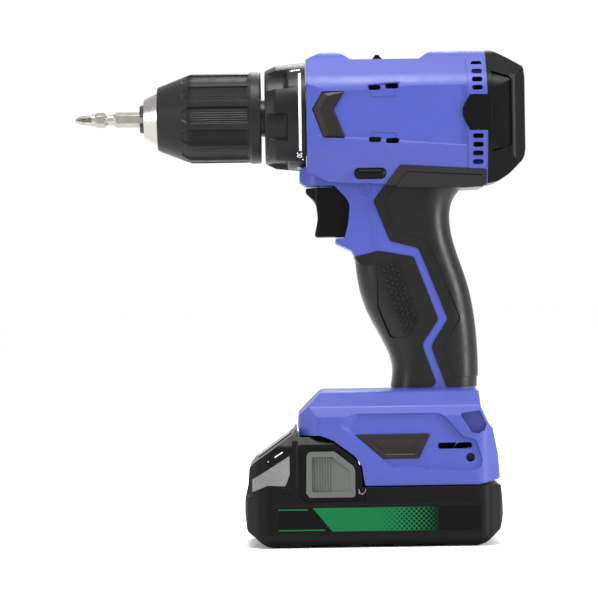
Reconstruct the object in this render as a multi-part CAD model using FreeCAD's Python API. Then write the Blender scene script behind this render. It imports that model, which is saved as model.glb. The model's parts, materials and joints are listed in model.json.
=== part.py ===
# Cordless drill driver with a slide-on battery: every piece is a separate named solid.
#
# Frame: millimetres, +Z up, -X towards the chuck, Y = 0 is the plane that parts the two
# housing halves. The origin lies on the floor under the middle of the battery.
import FreeCAD, Part
import math
import os

from FreeCAD import Vector

# ---------------------------------------------------------------------------------------------
# Driving dimensions
# ---------------------------------------------------------------------------------------------
RUN = 0.05               # radial clearance of a running fit
GAP = 0.3                # clearance between moving moulded pieces
WALL = 2.4               # housing wall
PROUD = 0.45             # how far the rubber stands above the housing
RUBBER = 1.3             # depth of the rubber below the housing surface

SPINDLE_Z = 204.0        # height of the spindle axis
HEAD_HALF = 29.4         # half the width of the head
HEAD_TOP = 234.2         # top of the head at its screw ears
HEAD_FLAT = 230.2        # top of the head between the ears
HEAD_FRONT = -30.3       # front face of the housing, behind the torque ring
HEAD_REAR = 73.3         # rear face of the rear cover
COVER_X = 55.0           # joint between the housing halves and the rear cover
WEB_HALF = 16.5          # half the width beside the trigger
GRIP_HALF = 17.2         # half the width of the handle
GRIP_ROUND = 12.0        # rounding of the handle's long edges
FOOT_HALF = 36.8         # half the width of the foot
FOOT_TOP = 73.0          # top of the foot
FOOT_BASE = 29.0         # underside of the foot, over the battery deck

CHUCK_FRONT = -101.5     # front of the chuck sleeve
CHUCK_REAR = -52.0       # rear of the chuck sleeve
CHUCK_R = 21.5           # radius of the chuck sleeve
NOSE_TIP = -108.0        # front of the chuck's nose cone
JAW_R = 3.4              # radius of a jaw
JAW_TILT = math.radians(15)
JAW_TIP = -110.0         # where the jaws end at rest
JAW_LENGTH = 30.0        # length of a jaw along its own axis
HEX_AF = 6.35            # bit size across its flats
BIT_TIP = -141.0
BIT_TAIL = -80.0
CHUCK_BODY_R = CHUCK_R - 4.5
JAW_NUT_R = CHUCK_R - 5.1

TORQUE_FRONT = -50.0     # front of the torque ring
TORQUE_R = 26.2          # largest radius of the torque ring
CASE_R = 23.2            # outer radius of the gearbox case
CASE_WALL = 2.0
NOSE_R = 15.2            # outer radius of the threaded gearbox nose
SHAFT_R = 6.0            # spindle radius in its bearings
BEARING_R = 11.0         # outer radius of the spindle bearings
CASE_REAR = 8.0          # rear face of the gearbox case

MODULE_1 = 0.85          # first stage, next to the motor
SUN_1 = 15
PLANET_1 = 12
MODULE_2 = 0.75          # second stage, next to the spindle
SUN_2 = 9
PLANET_2 = 18
PRESSURE = math.radians(25)
BACKLASH = 0.08

STATOR_R = 23.4
ROTOR_R = 12.3
MOTOR_SHAFT_R = 4.0
STACK_FRONT = 17.0       # laminations, front and rear
STACK_REAR = 45.0

TRIGGER_HALF = 10.5      # half the width of the trigger
SELECTOR_LENGTH = 14.5   # direction selector, along X
SELECTOR_HEIGHT = 4.7
SELECTOR_HALF = HEAD_HALF - 4.8   # half the length of the selector bar, along Y
KNOB_X = 3.9             # speed knob at rest
KNOB_TRAVEL = 7.0

PACK_HALF = 38.0         # half the width of the battery
PACK_SPLIT = 20.3        # parting line of the battery case
PACK_DECK = 28.4         # top of the battery under the foot
PACK_WALL = 2.4
RAIL_HALF = 24.0         # half the width of the battery's rails
STEM_HALF = 20.0         # half the width under the rails
RAIL_TOP = 35.6
RAIL_REAR = 45.0         # rear end of the rails
CELL_R = 9.15
CELL_LENGTH = 65.0
CELL_PITCH = 2 * CELL_R + 0.7
CELL_Z = CELL_R + 3.25
LATCH_FLANGE = 1.2       # how far the latch's flange reaches behind its window

BIG = 80.0               # half the width of a cutting block


# ---------------------------------------------------------------------------------------------
# Outlines: closed lists of (u, v, corner radius)
# ---------------------------------------------------------------------------------------------
HEAD_SIDE = [
    (HEAD_FRONT, 177.0, 2.0), (-20.0, 172.0, 6.0), (20.0, 170.0, 20.0), (44.0, 169.4, 2.0),
    (54.0, 170.0, 5.0), (60.0, 171.3, 5.0), (65.0, 174.5, 4.0), (71.5, 181.0, 4.0),
    (HEAD_REAR, 184.5, 1.5), (HEAD_REAR, 223.0, 1.2), (72.0, 225.5, 1.5), (65.0, 230.0, 4.0),
    (57.5, HEAD_TOP, 2.0), (29.0, HEAD_TOP, 1.5), (23.5, HEAD_FLAT, 1.5),
    (-9.0, HEAD_FLAT, 1.5), (-14.5, HEAD_TOP, 1.5), (-23.0, HEAD_TOP, 2.0),
    (HEAD_FRONT, 230.5, 1.0),
]
HEAD_SECTION = [
    (-12.0, HEAD_TOP + 0.4, 12.0), (-HEAD_HALF, 217.5, 16.0), (-HEAD_HALF, 189.0, 13.0),
    (-18.5, 166.0, 6.0), (18.5, 166.0, 6.0), (HEAD_HALF, 189.0, 13.0),
    (HEAD_HALF, 217.5, 16.0), (12.0, HEAD_TOP + 0.4, 12.0),
]
HEAD_PLAN = [
    (HEAD_FRONT, -HEAD_HALF + 1.8, 1.0), (-18.0, -HEAD_HALF, 16.0), (58.0, -HEAD_HALF, 8.0),
    (68.0, -HEAD_HALF + 3.0, 6.0), (HEAD_REAR, -HEAD_HALF + 9.4, 3.0),
    (HEAD_REAR, HEAD_HALF - 9.4, 3.0), (68.0, HEAD_HALF - 3.0, 6.0),
    (58.0, HEAD_HALF, 8.0), (-18.0, HEAD_HALF, 16.0), (HEAD_FRONT, HEAD_HALF - 1.8, 1.0),
]
WEB_SIDE = [
    (-34.0, 179.5, 3.0), (-34.0, 170.6, 4.2), (-17.5, 170.6, 1.0), (-10.0, 162.5, 8.0),
    (-11.2, 152.0, 15.0), (-13.0, 145.5, 0.5), (-17.3, 145.5, 0.8), (-17.0, 143.0, 1.6),
    (-9.5, 139.4, 3.0), (-6.0, 133.0, 3.0), (6.0, 133.0, 1.0), (6.0, 180.0, 1.0),
    (-26.0, 180.0, 1.0),
]
WEB_PLAN = [
    (-34.0, -9.5, 4.0), (-27.5, -WEB_HALF, 8.0), (6.0, -WEB_HALF, 1.0),
    (6.0, WEB_HALF, 1.0), (-27.5, WEB_HALF, 8.0), (-34.0, 9.5, 4.0),
]
GRIP_FRONT = [
    (-9.0, 178.0), (-9.6, 158.0), (-7.6, 137.0), (-5.2, 120.0), (-0.2, 106.5), (6.4, 94.0),
    (9.8, 82.0), (8.8, 74.0), (7.5, 62.0),
]
GRIP_REAR = [
    (48.4, 62.0), (49.0, 80.0), (48.0, 103.0), (44.2, 124.0), (37.6, 145.0), (36.4, 154.0),
    (38.2, 163.5), (43.0, 169.5), (50.0, 178.0),
]
FOOT_SIDE = [
    (-36.0, 62.0, 2.0), (-36.4, 57.0, 4.0), (-35.6, 52.8, 1.2), (-26.0, 52.8, 4.0),
    (-20.0, 50.4, 3.0), (-10.0, 43.0, 3.0), (-6.6, 38.0, 3.0), (-6.0, 33.0, 1.5),
    (-5.2, FOOT_BASE, 0.8), (48.0, FOOT_BASE, 4.0), (58.6, 31.2, 1.5), (57.4, 43.0, 6.0),
    (55.0, 55.0, 1.5), (53.3, 56.8, 1.5), (49.4, 65.0, 3.0), (48.8, FOOT_TOP, 1.0),
    (-25.0, FOOT_TOP, 3.0),
]
FOOT_PLAN = [
    (-36.4, -27.0, 7.0), (-29.0, -FOOT_HALF, 9.0), (50.0, -FOOT_HALF, 9.0),
    (58.6, -28.0, 7.0), (58.6, 28.0, 7.0), (50.0, FOOT_HALF, 9.0),
    (-29.0, FOOT_HALF, 9.0), (-36.4, 27.0, 7.0),
]
FOOT_SECTION = [
    (-FOOT_HALF, 20.0, 1.0), (FOOT_HALF, 20.0, 1.0), (FOOT_HALF, 61.0, 3.0),
    (34.0, 66.0, 3.0), (25.0, FOOT_TOP, 5.0), (-25.0, FOOT_TOP, 5.0), (-34.0, 66.0, 3.0),
    (-FOOT_HALF, 61.0, 3.0),
]
PANEL_SIDE = [
    (-60.0, 213.4, 0.5), (-60.0, 194.3, 0.5), (-22.0, 193.0, 1.0), (45.6, 187.2, 1.0),
    (45.6, 221.0, 1.0), (-30.0, 213.6, 1.0),
]
PANEL_FLOOR_SIDE = [
    (-60.0, 211.9, 0.5), (-60.0, 195.0, 0.5), (-22.0, 193.8, 1.0), (44.8, 188.4, 1.0),
    (44.8, 218.4, 1.0), (-30.0, 212.0, 1.0),
]
CHEVRON_SIDE = [
    (-22.8, 214.4, 0.6), (-12.0, 214.4, 0.6), (-17.4, 206.0, 0.6), (-12.0, 192.2, 0.6),
    (-22.6, 192.5, 0.6), (-27.6, 206.2, 0.6),
]
COVER_TAB = [
    (60.0, 212.0, 0.5), (46.5, 212.0, 1.0), (43.3, 205.5, 1.0), (43.3, 202.0, 1.0),
    (46.5, 195.0, 1.0), (60.0, 195.0, 0.5),
]
COVER_PANEL = [
    (57.2, 185.0, 0.3), (65.4, 187.2, 1.0), (66.5, 189.0, 1.0), (66.5, 219.0, 1.0),
    (65.4, 220.8, 1.0), (57.2, 223.4, 0.3),
]
VENT_FRAMES = [
    [(45.8, 211.8, 1.5), (54.2, 211.8, 1.5), (54.2, 230.2, 1.5), (45.8, 230.2, 1.5)],
    [(45.8, 177.4, 1.5), (54.2, 177.4, 1.5), (54.2, 195.2, 1.5), (45.8, 195.2, 1.5)],
]
VENT_RIMS = [
    [(-1.6, 217.6, 0.8), (0.9, 211.6, 0.8), (12.0, 212.1, 0.8), (14.0, 218.7, 0.8)],
    [(-1.6, 189.4, 0.8), (14.0, 188.4, 0.8), (12.0, 195.2, 0.8), (0.9, 195.6, 0.8)],
]
FRONT_GRIP_SIDE = [
    (-20.0, 136.8, 0.5), (-8.0, 136.6, 0.5), (3.0, 139.2, 4.0), (19.6, 136.2, 1.5),
    (31.0, 106.3, 3.0), (22.9, 94.6, 5.0), (29.4, 76.6, 2.0), (27.5, 74.2, 2.0),
    (-20.0, 74.2, 0.5),
]
REAR_GRIP_SIDE = [
    (13.6, 179.4, 1.5), (0.9, 163.0, 2.0), (8.5, 143.8, 2.0), (22.0, 140.2, 3.0),
    (35.4, 106.4, 3.0), (27.2, 93.7, 5.0), (34.4, 74.2, 1.5), (80.0, 74.2, 0.5),
    (80.0, 168.0, 0.5), (54.5, 168.0, 0.5), (54.5, 176.8, 0.8),
]
REAR_FIELD_SIDE = [
    (17.0, 176.0, 1.5), (6.2, 162.6, 2.0), (12.2, 148.4, 2.0), (26.6, 144.4, 3.0),
    (41.6, 106.6, 3.0), (33.2, 93.6, 5.0), (38.2, 79.0, 2.0), (80.0, 79.0, 0.5),
    (80.0, 167.0, 0.5), (53.0, 167.0, 0.5), (53.0, 174.0, 0.8),
]
GRIP_INSET_SIDE = [
    (1.6, 134.2, 2.0), (12.4, 134.6, 2.0), (22.0, 107.0, 4.0), (15.8, 97.6, 3.0),
    (8.0, 97.6, 3.0), (2.2, 112.0, 4.0),
]
TRIGGER_SIDE = [
    (-31.2, 169.6, 1.5), (-31.0, 167.4, 1.5), (-26.2, 162.6, 7.0), (-25.4, 155.0, 14.0),
    (-27.3, 146.2, 1.4), (-6.0, 146.2, 1.0), (-6.0, 168.5, 1.0), (-17.0, 170.1, 1.0),
]
FOOT_PANEL_SIDE = [
    (-12.5, 63.0, 2.0), (-17.5, 57.3, 2.0), (7.5, 36.9, 2.0), (21.0, 36.9, 2.0),
    (24.0, 35.4, 2.0), (45.0, 35.2, 3.0), (49.0, 36.7, 2.0), (50.4, 40.0, 3.0),
    (47.0, 50.0, 2.0), (41.0, 51.5, 2.0), (33.0, 60.6, 2.0), (30.0, 63.0, 1.5),
]
FOOT_FLOOR_SIDE = [
    (-7.8, 62.4, 2.0), (-12.6, 55.7, 2.0), (7.9, 37.7, 2.0), (20.8, 37.7, 2.0),
    (24.0, 36.3, 2.0), (44.6, 36.0, 3.0), (48.0, 37.5, 2.0), (49.3, 40.4, 3.0),
    (46.2, 49.4, 2.0), (40.6, 50.9, 2.0), (32.6, 59.6, 2.0), (29.4, 62.2, 1.5),
]
FOOT_INSERT_SIDE = [
    (-9.5, 53.0, 0.8), (3.0, 41.5, 0.8), (20.0, 41.5, 0.8), (25.5, 53.0, 0.8),
]
STRAP_SIDE = [
    (39.5, 62.2, 0.8), (45.0, 53.2, 0.8), (48.2, 52.8, 0.8), (51.0, 54.2, 0.8),
    (52.0, 57.0, 0.8), (48.8, 63.6, 0.8),
]
PACK_SIDE = [
    (-61.0, 8.0, 3.0), (-52.0, 1.0, 6.0), (-47.0, 0.0, 6.0), (46.0, 0.0, 6.0),
    (50.5, 1.2, 6.0), (58.2, 7.5, 3.0), (59.8, 14.0, 4.0), (59.6, 21.0, 1.0),
    (58.6, PACK_DECK, 1.0), (-6.8, PACK_DECK, 0.5), (-6.9, 33.4, 1.0), (-7.6, 38.4, 3.0),
    (-10.8, 42.4, 3.0), (-20.4, 49.7, 3.0), (-26.2, 52.1, 3.0), (-37.0, 52.1, 0.4),
    (-37.0, 56.9, 0.7), (-38.8, 53.6, 0.8), (-57.4, 40.2, 2.0), (-59.6, 37.4, 1.0),
    (-60.2, 30.0, 1.5), (-61.8, 23.0, 3.0), (-62.0, 17.0, 4.0),
]
PACK_LIP = [(-37.0, 56.9, 0.7), (-38.8, 53.6, 0.8)]
PACK_PLAN = [
    (-62.0, -26.0, 9.0), (-53.0, -PACK_HALF, 12.0), (51.0, -PACK_HALF, 12.0),
    (59.8, -27.0, 9.0), (59.8, 27.0, 9.0), (51.0, PACK_HALF, 12.0),
    (-53.0, PACK_HALF, 12.0), (-62.0, 26.0, 9.0),
]
PACK_SECTION = [
    (-PACK_HALF + 5.0, 0.0, 3.0), (PACK_HALF - 5.0, 0.0, 3.0), (PACK_HALF, 6.5, 3.0),
    (PACK_HALF, 47.0, 6.0), (27.0, 60.0, 6.0), (-27.0, 60.0, 6.0), (-PACK_HALF, 47.0, 6.0),
    (-PACK_HALF, 6.5, 3.0),
]
LATCH_SIDE = [
    (-32.6, 44.0, 1.0), (-31.0, 45.3, 1.0), (-19.5, 45.3, 1.5), (-10.6, 38.2, 1.5),
    (-10.0, 36.0, 1.5), (-10.0, 24.6, 0.8), (-11.0, 23.8, 0.6), (-31.5, 23.9, 1.0),
    (-33.0, 26.0, 1.0),
]
LATCH_DISH = [
    (-30.3, 42.8, 1.0), (-20.4, 42.8, 1.5), (-12.2, 36.0, 1.5), (-12.2, 26.4, 1.0),
    (-30.3, 26.4, 1.0),
]
LATCH_FIELD = [
    (-36.2, 60.0, 0.5), (-36.2, 23.5, 3.0), (-32.0, 21.6, 1.5), (-5.0, 21.6, 0.5),
    (-5.0, 60.0, 0.5),
]


# ---------------------------------------------------------------------------------------------
# Helpers
# ---------------------------------------------------------------------------------------------
def signed_area(points):
    """Twice the area of an outline, positive when it runs anticlockwise."""
    total = 0.0
    for here, there in zip(points, points[1:] + points[:1]):
        total += here[0] * there[1] - there[0] * here[1]
    return total


def grown(points, grow):
    """An outline moved outwards by grow, with its corner radii to suit."""
    if signed_area(points) < 0:
        points = points[::-1]
    if grow == 0:
        return points
    moved = []
    count = len(points)
    for i, (u, v, radius) in enumerate(points):
        before = points[i - 1]
        after = points[(i + 1) % count]
        length_in = math.hypot(u - before[0], v - before[1])
        length_out = math.hypot(after[0] - u, after[1] - v)
        du, dv = (u - before[0]) / length_in, (v - before[1]) / length_in
        eu, ev = (after[0] - u) / length_out, (after[1] - v) / length_out
        share = grow / (1.0 + du * eu + dv * ev)
        turn = du * ev - dv * eu
        new_radius = radius + grow if turn > 0 else radius - grow
        moved.append((u + (dv + ev) * share, v - (du + eu) * share, max(new_radius, 0.05)))
    return moved


def outline_wire(points, place):
    """A closed wire through an outline's points, with each corner as a tangent arc."""
    count = len(points)
    corners = []
    for i, (u, v, radius) in enumerate(points):
        before = points[i - 1]
        after = points[(i + 1) % count]
        length_in = math.hypot(u - before[0], v - before[1])
        length_out = math.hypot(after[0] - u, after[1] - v)
        du, dv = (u - before[0]) / length_in, (v - before[1]) / length_in
        eu, ev = (after[0] - u) / length_out, (after[1] - v) / length_out
        cosine = max(-1.0, min(1.0, du * eu + dv * ev))
        half_turn = math.acos(cosine) / 2.0
        reach = radius * math.tan(half_turn)
        reach = min(reach, 0.45 * length_in, 0.45 * length_out)
        radius = reach / math.tan(half_turn)
        start = (u - du * reach, v - dv * reach)
        end = (u + eu * reach, v + ev * reach)
        inward = math.hypot(eu - du, ev - dv)
        depth = radius / math.cos(half_turn) - radius
        middle = (u + (eu - du) / inward * depth, v + (ev - dv) / inward * depth)
        corners.append((start, middle, end))
    edges = []
    for i, (start, middle, end) in enumerate(corners):
        edges.append(Part.Arc(place(*start), place(*middle), place(*end)).toShape())
        following = corners[(i + 1) % count][0]
        edges.append(Part.makeLine(place(*end), place(*following)))
    return Part.Wire(edges)


def prism_y(points, low, high, grow=0.0):
    """An (x, z) outline extruded from y = low to y = high."""
    wire = outline_wire(grown(points, grow), lambda u, v: Vector(u, low, v))
    return Part.Face(wire).extrude(Vector(0, high - low, 0))


def prism_x(points, low, high, grow=0.0):
    """A (y, z) outline extruded from x = low to x = high."""
    wire = outline_wire(grown(points, grow), lambda u, v: Vector(low, u, v))
    return Part.Face(wire).extrude(Vector(high - low, 0, 0))


def prism_z(points, low, high, grow=0.0):
    """An (x, y) outline extruded from z = low to z = high."""
    wire = outline_wire(grown(points, grow), lambda u, v: Vector(u, v, low))
    return Part.Face(wire).extrude(Vector(0, 0, high - low))


def box(x, y, z):
    """A box between three (low, high) pairs."""
    return Part.makeBox(x[1] - x[0], y[1] - y[0], z[1] - z[0], Vector(x[0], y[0], z[0]))


def rod_x(radius, low, high, y=0.0, z=SPINDLE_Z):
    return Part.makeCylinder(radius, high - low, Vector(low, y, z), Vector(1, 0, 0))


def rod_y(radius, low, high, x, z):
    return Part.makeCylinder(radius, high - low, Vector(x, low, z), Vector(0, 1, 0))


def tube_x(outer, inner, low, high):
    return rod_x(outer, low, high).cut(rod_x(inner, low - 1, high + 1))


def turned(profile):
    """A profile of (x, radius) points turned about the spindle axis."""
    points = [Vector(x, 0, SPINDLE_Z + r) for x, r in profile]
    face = Part.Face(Part.makePolygon(points + points[:1]))
    return face.revolve(Vector(0, 0, SPINDLE_Z), Vector(1, 0, 0), 360)


def about_spindle(shape, degrees):
    """A copy turned about the spindle axis."""
    copy = shape.copy()
    copy.rotate(Vector(0, 0, SPINDLE_Z), Vector(1, 0, 0), degrees)
    return copy


def joined(shapes):
    """One shape from several that touch or overlap."""
    first = shapes[0]
    if len(shapes) == 1:
        return first
    return first.multiFuse(shapes[1:]).removeSplitter()


def group(shapes):
    """Several separate solids in one node."""
    solids = []
    for shape in shapes:
        solids.extend(shape.Solids)
    return Part.makeCompound(solids)


def mirrored(shape):
    return shape.mirror(Vector(0, 0, 0), Vector(0, 1, 0))


def left_part(shape):
    """What lies on the -Y side."""
    return shape.common(box((-200, 200), (-BIG, 0), (-20, 300)))


def right_part(shape):
    return shape.common(box((-200, 200), (0, BIG), (-20, 300)))


def save(name, shape):
    shape.exportStep("parts/%s.step" % name)
    solids = shape.Solids
    volume = sum(solid.Volume for solid in solids)
    print("%-22s solids %2d  volume %10.1f  valid %s" % (name, len(solids), volume, shape.isValid()))


# ---------------------------------------------------------------------------------------------
# The housing's outer form, which every skin, wall and insert is measured from
# ---------------------------------------------------------------------------------------------
def head_form(grow):
    side = prism_y(HEAD_SIDE, -BIG, BIG, grow)
    section = prism_x(HEAD_SECTION, -100, 120, grow)
    plan = prism_z(HEAD_PLAN, 100, 300, grow)
    return side.common(section).common(plan)


def web_form(grow):
    side = prism_y(WEB_SIDE, -BIG, BIG, grow)
    return side.common(prism_z(WEB_PLAN, 100, 300, grow))


def grip_form(grow):
    """The handle: two long curves, extruded, with its four long edges rounded."""
    half = GRIP_HALF + grow
    front = Part.BSplineCurve()
    front.interpolate([Vector(x - grow, -half, z) for x, z in GRIP_FRONT])
    rear = Part.BSplineCurve()
    rear.interpolate([Vector(x + grow, -half, z) for x, z in GRIP_REAR])
    front_edge = front.toShape()
    rear_edge = rear.toShape()
    bottom = Part.makeLine(front.EndPoint, rear.StartPoint)
    top = Part.makeLine(rear.EndPoint, front.StartPoint)
    solid = Part.Face(Part.Wire([front_edge, bottom, rear_edge, top])).extrude(Vector(0, 2 * half, 0))
    long_edges = []
    for edge in solid.Edges:
        box_of = edge.BoundBox
        if box_of.ZLength > 60 and box_of.YLength < 0.01:
            long_edges.append(edge)
    return solid.makeFillet(GRIP_ROUND + grow, long_edges)


def foot_form(grow):
    side = prism_y(FOOT_SIDE, -BIG, BIG, grow)
    plan = prism_z(FOOT_PLAN, 0, 120, grow)
    return side.common(plan).common(prism_x(FOOT_SECTION, -100, 120, grow))


def body_form(grow):
    forms = [head_form(grow), web_form(grow), grip_form(grow), foot_form(grow)]
    return forms[0].multiFuse(forms[1:])


# ---------------------------------------------------------------------------------------------
# Housing halves, covers and rubber grips
# ---------------------------------------------------------------------------------------------
VENT_REAR_Z = [227.2, 223.2, 219.2, 215.2, 192.4, 188.4, 184.4, 180.4]
VENT_MID = [(1.9, 215.9, 5.8), (10.1, 216.5, 6.2), (1.9, 191.4, 5.8), (10.1, 190.8, 6.2)]
SCREW_PLACES = [
    (-18.5, 231.2), (42.0, 231.2), (-24.0, 175.4), (33.0, 162.0), (0.6, 140.0), (12.0, 104.0),
    (-27.0, 62.5), (36.0, 69.0),
]
SCREW_R = 1.3            # housing screw
SCREW_HEAD_R = 2.6
BOSS_R = 3.2
HOOK_X = 44.2            # belt hook screw hole
HOOK_Z = 41.6
HOOK_R = 2.1
HOOK_DEPTH = 8.0
PANEL_DEPTH = 1.1        # depth of the panel in the head's side
FOOT_RECESS = 1.8        # depth of the panel in the foot's side
STRAP_DEPTH = 4.5        # depth of the strap recess
TREAD = 0.55             # height of the grip's raised field and treads
POCKET_TOP = 36.6        # roof of the battery rail pocket
FLOOR_TOP = 39.6         # floor of the foot's inside
LOOM_X = 20.0            # where the wires run down the handle
KNOB_SLOT = 2.2          # half the width of the speed knob's slot
BLADE_Y = [-13.5, -4.5, 4.5, 13.5]
BLADE_X = (14.0, 32.0)
BLADE_THICK = 0.8
CASE_MOUTH = 20.6        # radius of the opening in front of the gearbox


def slot_form(x, z, long, tall, depth_low, depth_high):
    """A round-ended slot through the side, centred on x and z."""
    radius = tall / 2.0 - 0.01
    points = [
        (x - long / 2, z - tall / 2, radius), (x + long / 2, z - tall / 2, radius),
        (x + long / 2, z + tall / 2, radius), (x - long / 2, z + tall / 2, radius),
    ]
    return prism_y(points, depth_low, depth_high)


def both_sides(points, inner, outer, grow=0.0):
    """The same outline on both sides, between two distances from the middle plane."""
    return prism_y(points, -outer, -inner, grow).fuse(prism_y(points, inner, outer, grow))


def sunk_panel(rim, floor, surface, depth):
    """A recess cutter with sloping walls on both sides, from the rim down to the floor."""
    wires = []
    for outline, y in ((rim, surface + 2.0), (rim, surface), (floor, surface - depth)):
        wires.append(outline_wire(outline, lambda u, v, y=y: Vector(u, -y, v)))
    cutter = Part.makeLoft(wires, True, True)
    return cutter.fuse(mirrored(cutter))


def housing_pieces():
    """The two halves, the rear cover and everything let into their outer surface."""
    outer = body_form(0.0)
    proud = body_form(PROUD)
    under = body_form(-RUBBER)
    skin = proud.cut(under)

    # Hollow: head, handle and foot, with a floor over the battery rails
    hollow = joined([
        head_form(-WALL).common(box((HEAD_FRONT + WALL, 100), (-BIG, BIG), (150, 300))),
        web_form(-WALL),
        grip_form(-WALL).common(box((-40, 80), (-BIG, BIG), (60, 175))),
        foot_form(-WALL).common(box((-60, 80), (-BIG, BIG), (FLOOR_TOP, 80))),
    ])

    cover_cut = box((COVER_X, 100), (-BIG, BIG), (160, 240))
    tab = both_sides(COVER_TAB, HEAD_HALF - 1.2, BIG)
    cover_zone = cover_cut.fuse(tab)

    # Rubber: two overmoulds to each side
    front_zone = prism_y(FRONT_GRIP_SIDE, -BIG, BIG)
    rear_zone = prism_y(REAR_GRIP_SIDE, -BIG, BIG).cut(cover_cut)
    grips = skin.common(front_zone.fuse(rear_zone))
    inset = grip_form(1.0).cut(grip_form(PROUD - 0.7)).common(prism_y(GRIP_INSET_SIDE, -BIG, BIG))
    field = body_form(PROUD + TREAD).cut(body_form(PROUD - 0.3))
    field = field.common(prism_y(REAR_FIELD_SIDE, -BIG, BIG)).cut(cover_cut)

    # Inserts let into the head and the foot
    chevrons = head_form(PROUD).cut(head_form(-RUBBER)).common(both_sides(CHEVRON_SIDE, 20, BIG))
    panel_floor = FOOT_HALF - FOOT_RECESS
    inserts = both_sides(FOOT_INSERT_SIDE, panel_floor - 0.8, panel_floor + 0.7)

    shell = outer.cut(hollow)
    bosses = []
    for x, z in SCREW_PLACES:
        bosses.append(rod_y(BOSS_R, -BIG, BIG, x, z))
    shell = shell.fuse(outer.common(Part.makeCompound(bosses)))
    shell = joined([shell])

    # Recesses in the outer surface
    middle = sunk_panel(PANEL_SIDE, PANEL_FLOOR_SIDE, HEAD_HALF, PANEL_DEPTH)
    foot_panel = sunk_panel(FOOT_PANEL_SIDE, FOOT_FLOOR_SIDE, FOOT_HALF, FOOT_RECESS)
    belt_slot = slot_form(37.0, 47.2, 16.0, 2.9, -BIG, -panel_floor + 1.2)
    belt_slot = belt_slot.fuse(mirrored(belt_slot))
    strap_floor = FOOT_HALF - STRAP_DEPTH
    strap = both_sides(STRAP_SIDE, strap_floor, BIG)
    strap_wall = both_sides(STRAP_SIDE, strap_floor - 1.6, BIG, 1.6).common(outer)
    shell = shell.fuse(strap_wall)
    for cut in (middle, foot_panel):
        shell = shell.cut(cut)
    cuts = [belt_slot, strap]
    late = []

    # Vents, in raised frames at the rear and in thin raised rims farther forward
    for outline in VENT_FRAMES:
        frame = head_form(0.35).cut(head_form(-1.4)).common(both_sides(outline, 15, BIG))
        late.append(frame)
    rim_surface = HEAD_HALF - PANEL_DEPTH + 0.3
    for outline in VENT_RIMS:
        rim = both_sides(outline, rim_surface - 1.5, rim_surface)
        rim = rim.cut(both_sides(outline, 10, BIG, -0.55))
        late.append(rim)
    for z in VENT_REAR_Z:
        cuts.append(slot_form(50.4, z, 5.0, 2.3, -BIG, BIG))
    for x, z, long in VENT_MID:
        cuts.append(slot_form(x, z, long, 2.5, -BIG, BIG))

    # Torque ring, gearbox mouth, speed knob slot, selector, trigger, lamp and battery rails
    cuts.append(rod_x(TORQUE_R + GAP, HEAD_FRONT - 10, HEAD_FRONT))
    cuts.append(rod_x(CASE_MOUTH, HEAD_FRONT - 1, HEAD_FRONT + 10))
    cuts.append(box((KNOB_X - KNOB_TRAVEL - 1.4, KNOB_X + 1.4), (-KNOB_SLOT, KNOB_SLOT), (222, 240)))
    cuts.append(prism_y(selector_outline(), -BIG, BIG, 0.2))
    cuts.append(trigger_slot())
    cuts.append(rod_x(3.1, -40, -28, z=174.9))
    cuts.append(box((-30.7, -29.2), (-3.6, 3.6), (173.0, 177.3)))
    cuts.append(box((-8, RAIL_REAR + 1), (-STEM_HALF - 0.6, STEM_HALF + 0.6), (20, POCKET_TOP)))
    cuts.append(box((-8, RAIL_REAR + 1), (-RAIL_HALF - 0.6, RAIL_HALF + 0.6), (31.4, POCKET_TOP)))
    for y in BLADE_Y:
        cuts.append(box((BLADE_X[0] - 0.3, BLADE_X[1] + 0.3), (y - 0.7, y + 0.7), (30, 42)))

    # Belt hook screw holes, blind, in a boss inside each side
    hook = rod_y(HOOK_R + 2.6, -panel_floor, -panel_floor + HOOK_DEPTH + 2, HOOK_X, HOOK_Z)
    shell = shell.fuse(hook).fuse(mirrored(hook))
    hole = rod_y(HOOK_R, -BIG, -panel_floor + HOOK_DEPTH, HOOK_X, HOOK_Z)
    cuts.extend([hole, mirrored(hole)])

    # Housing screws: driven in from the +Y side
    for x, z in SCREW_PLACES:
        cuts.append(rod_y(SCREW_R + 0.02, -12.0, 12.0, x, z))
        cuts.append(rod_y(SCREW_HEAD_R + 0.2, 11.0, BIG, x, z))
    shell = shell.fuse(late)
    for cut in cuts:
        shell = shell.cut(cut)

    cover = shell.common(cover_cut)
    cover = cover.fuse(outer.cut(head_form(-1.2)).common(tab).cut(cover_cut))
    seat = tube_x(BEARING_R + 1.6, 9.0, 60.0, HEAD_REAR - WALL + 0.2)
    ribs = []
    for degrees in range(45, 360, 90):
        rib = box((66, HEAD_REAR - WALL + 0.2), (-1, 1), (SPINDLE_Z + 12, SPINDLE_Z + 26))
        ribs.append(about_spindle(rib, degrees))
    inside = head_form(-WALL + 0.1)
    cover = cover.fuse(seat).multiFuse([rib.common(inside) for rib in ribs])
    sunk = head_form(1.0).cut(head_form(-1.0)).common(both_sides(COVER_PANEL, 20, BIG))
    for y, z in cover_screw_places():
        cover = cover.fuse(cover_pillar(COVER_X, 62.0, y, z).common(outer))
        cover = cover.cut(rod_x(1.35, COVER_X - 1, 100, y, z))
        cover = cover.cut(rod_x(2.7, 62.0, 100, y, z))
    cover = joined([cover.cut(sunk)])

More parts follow.
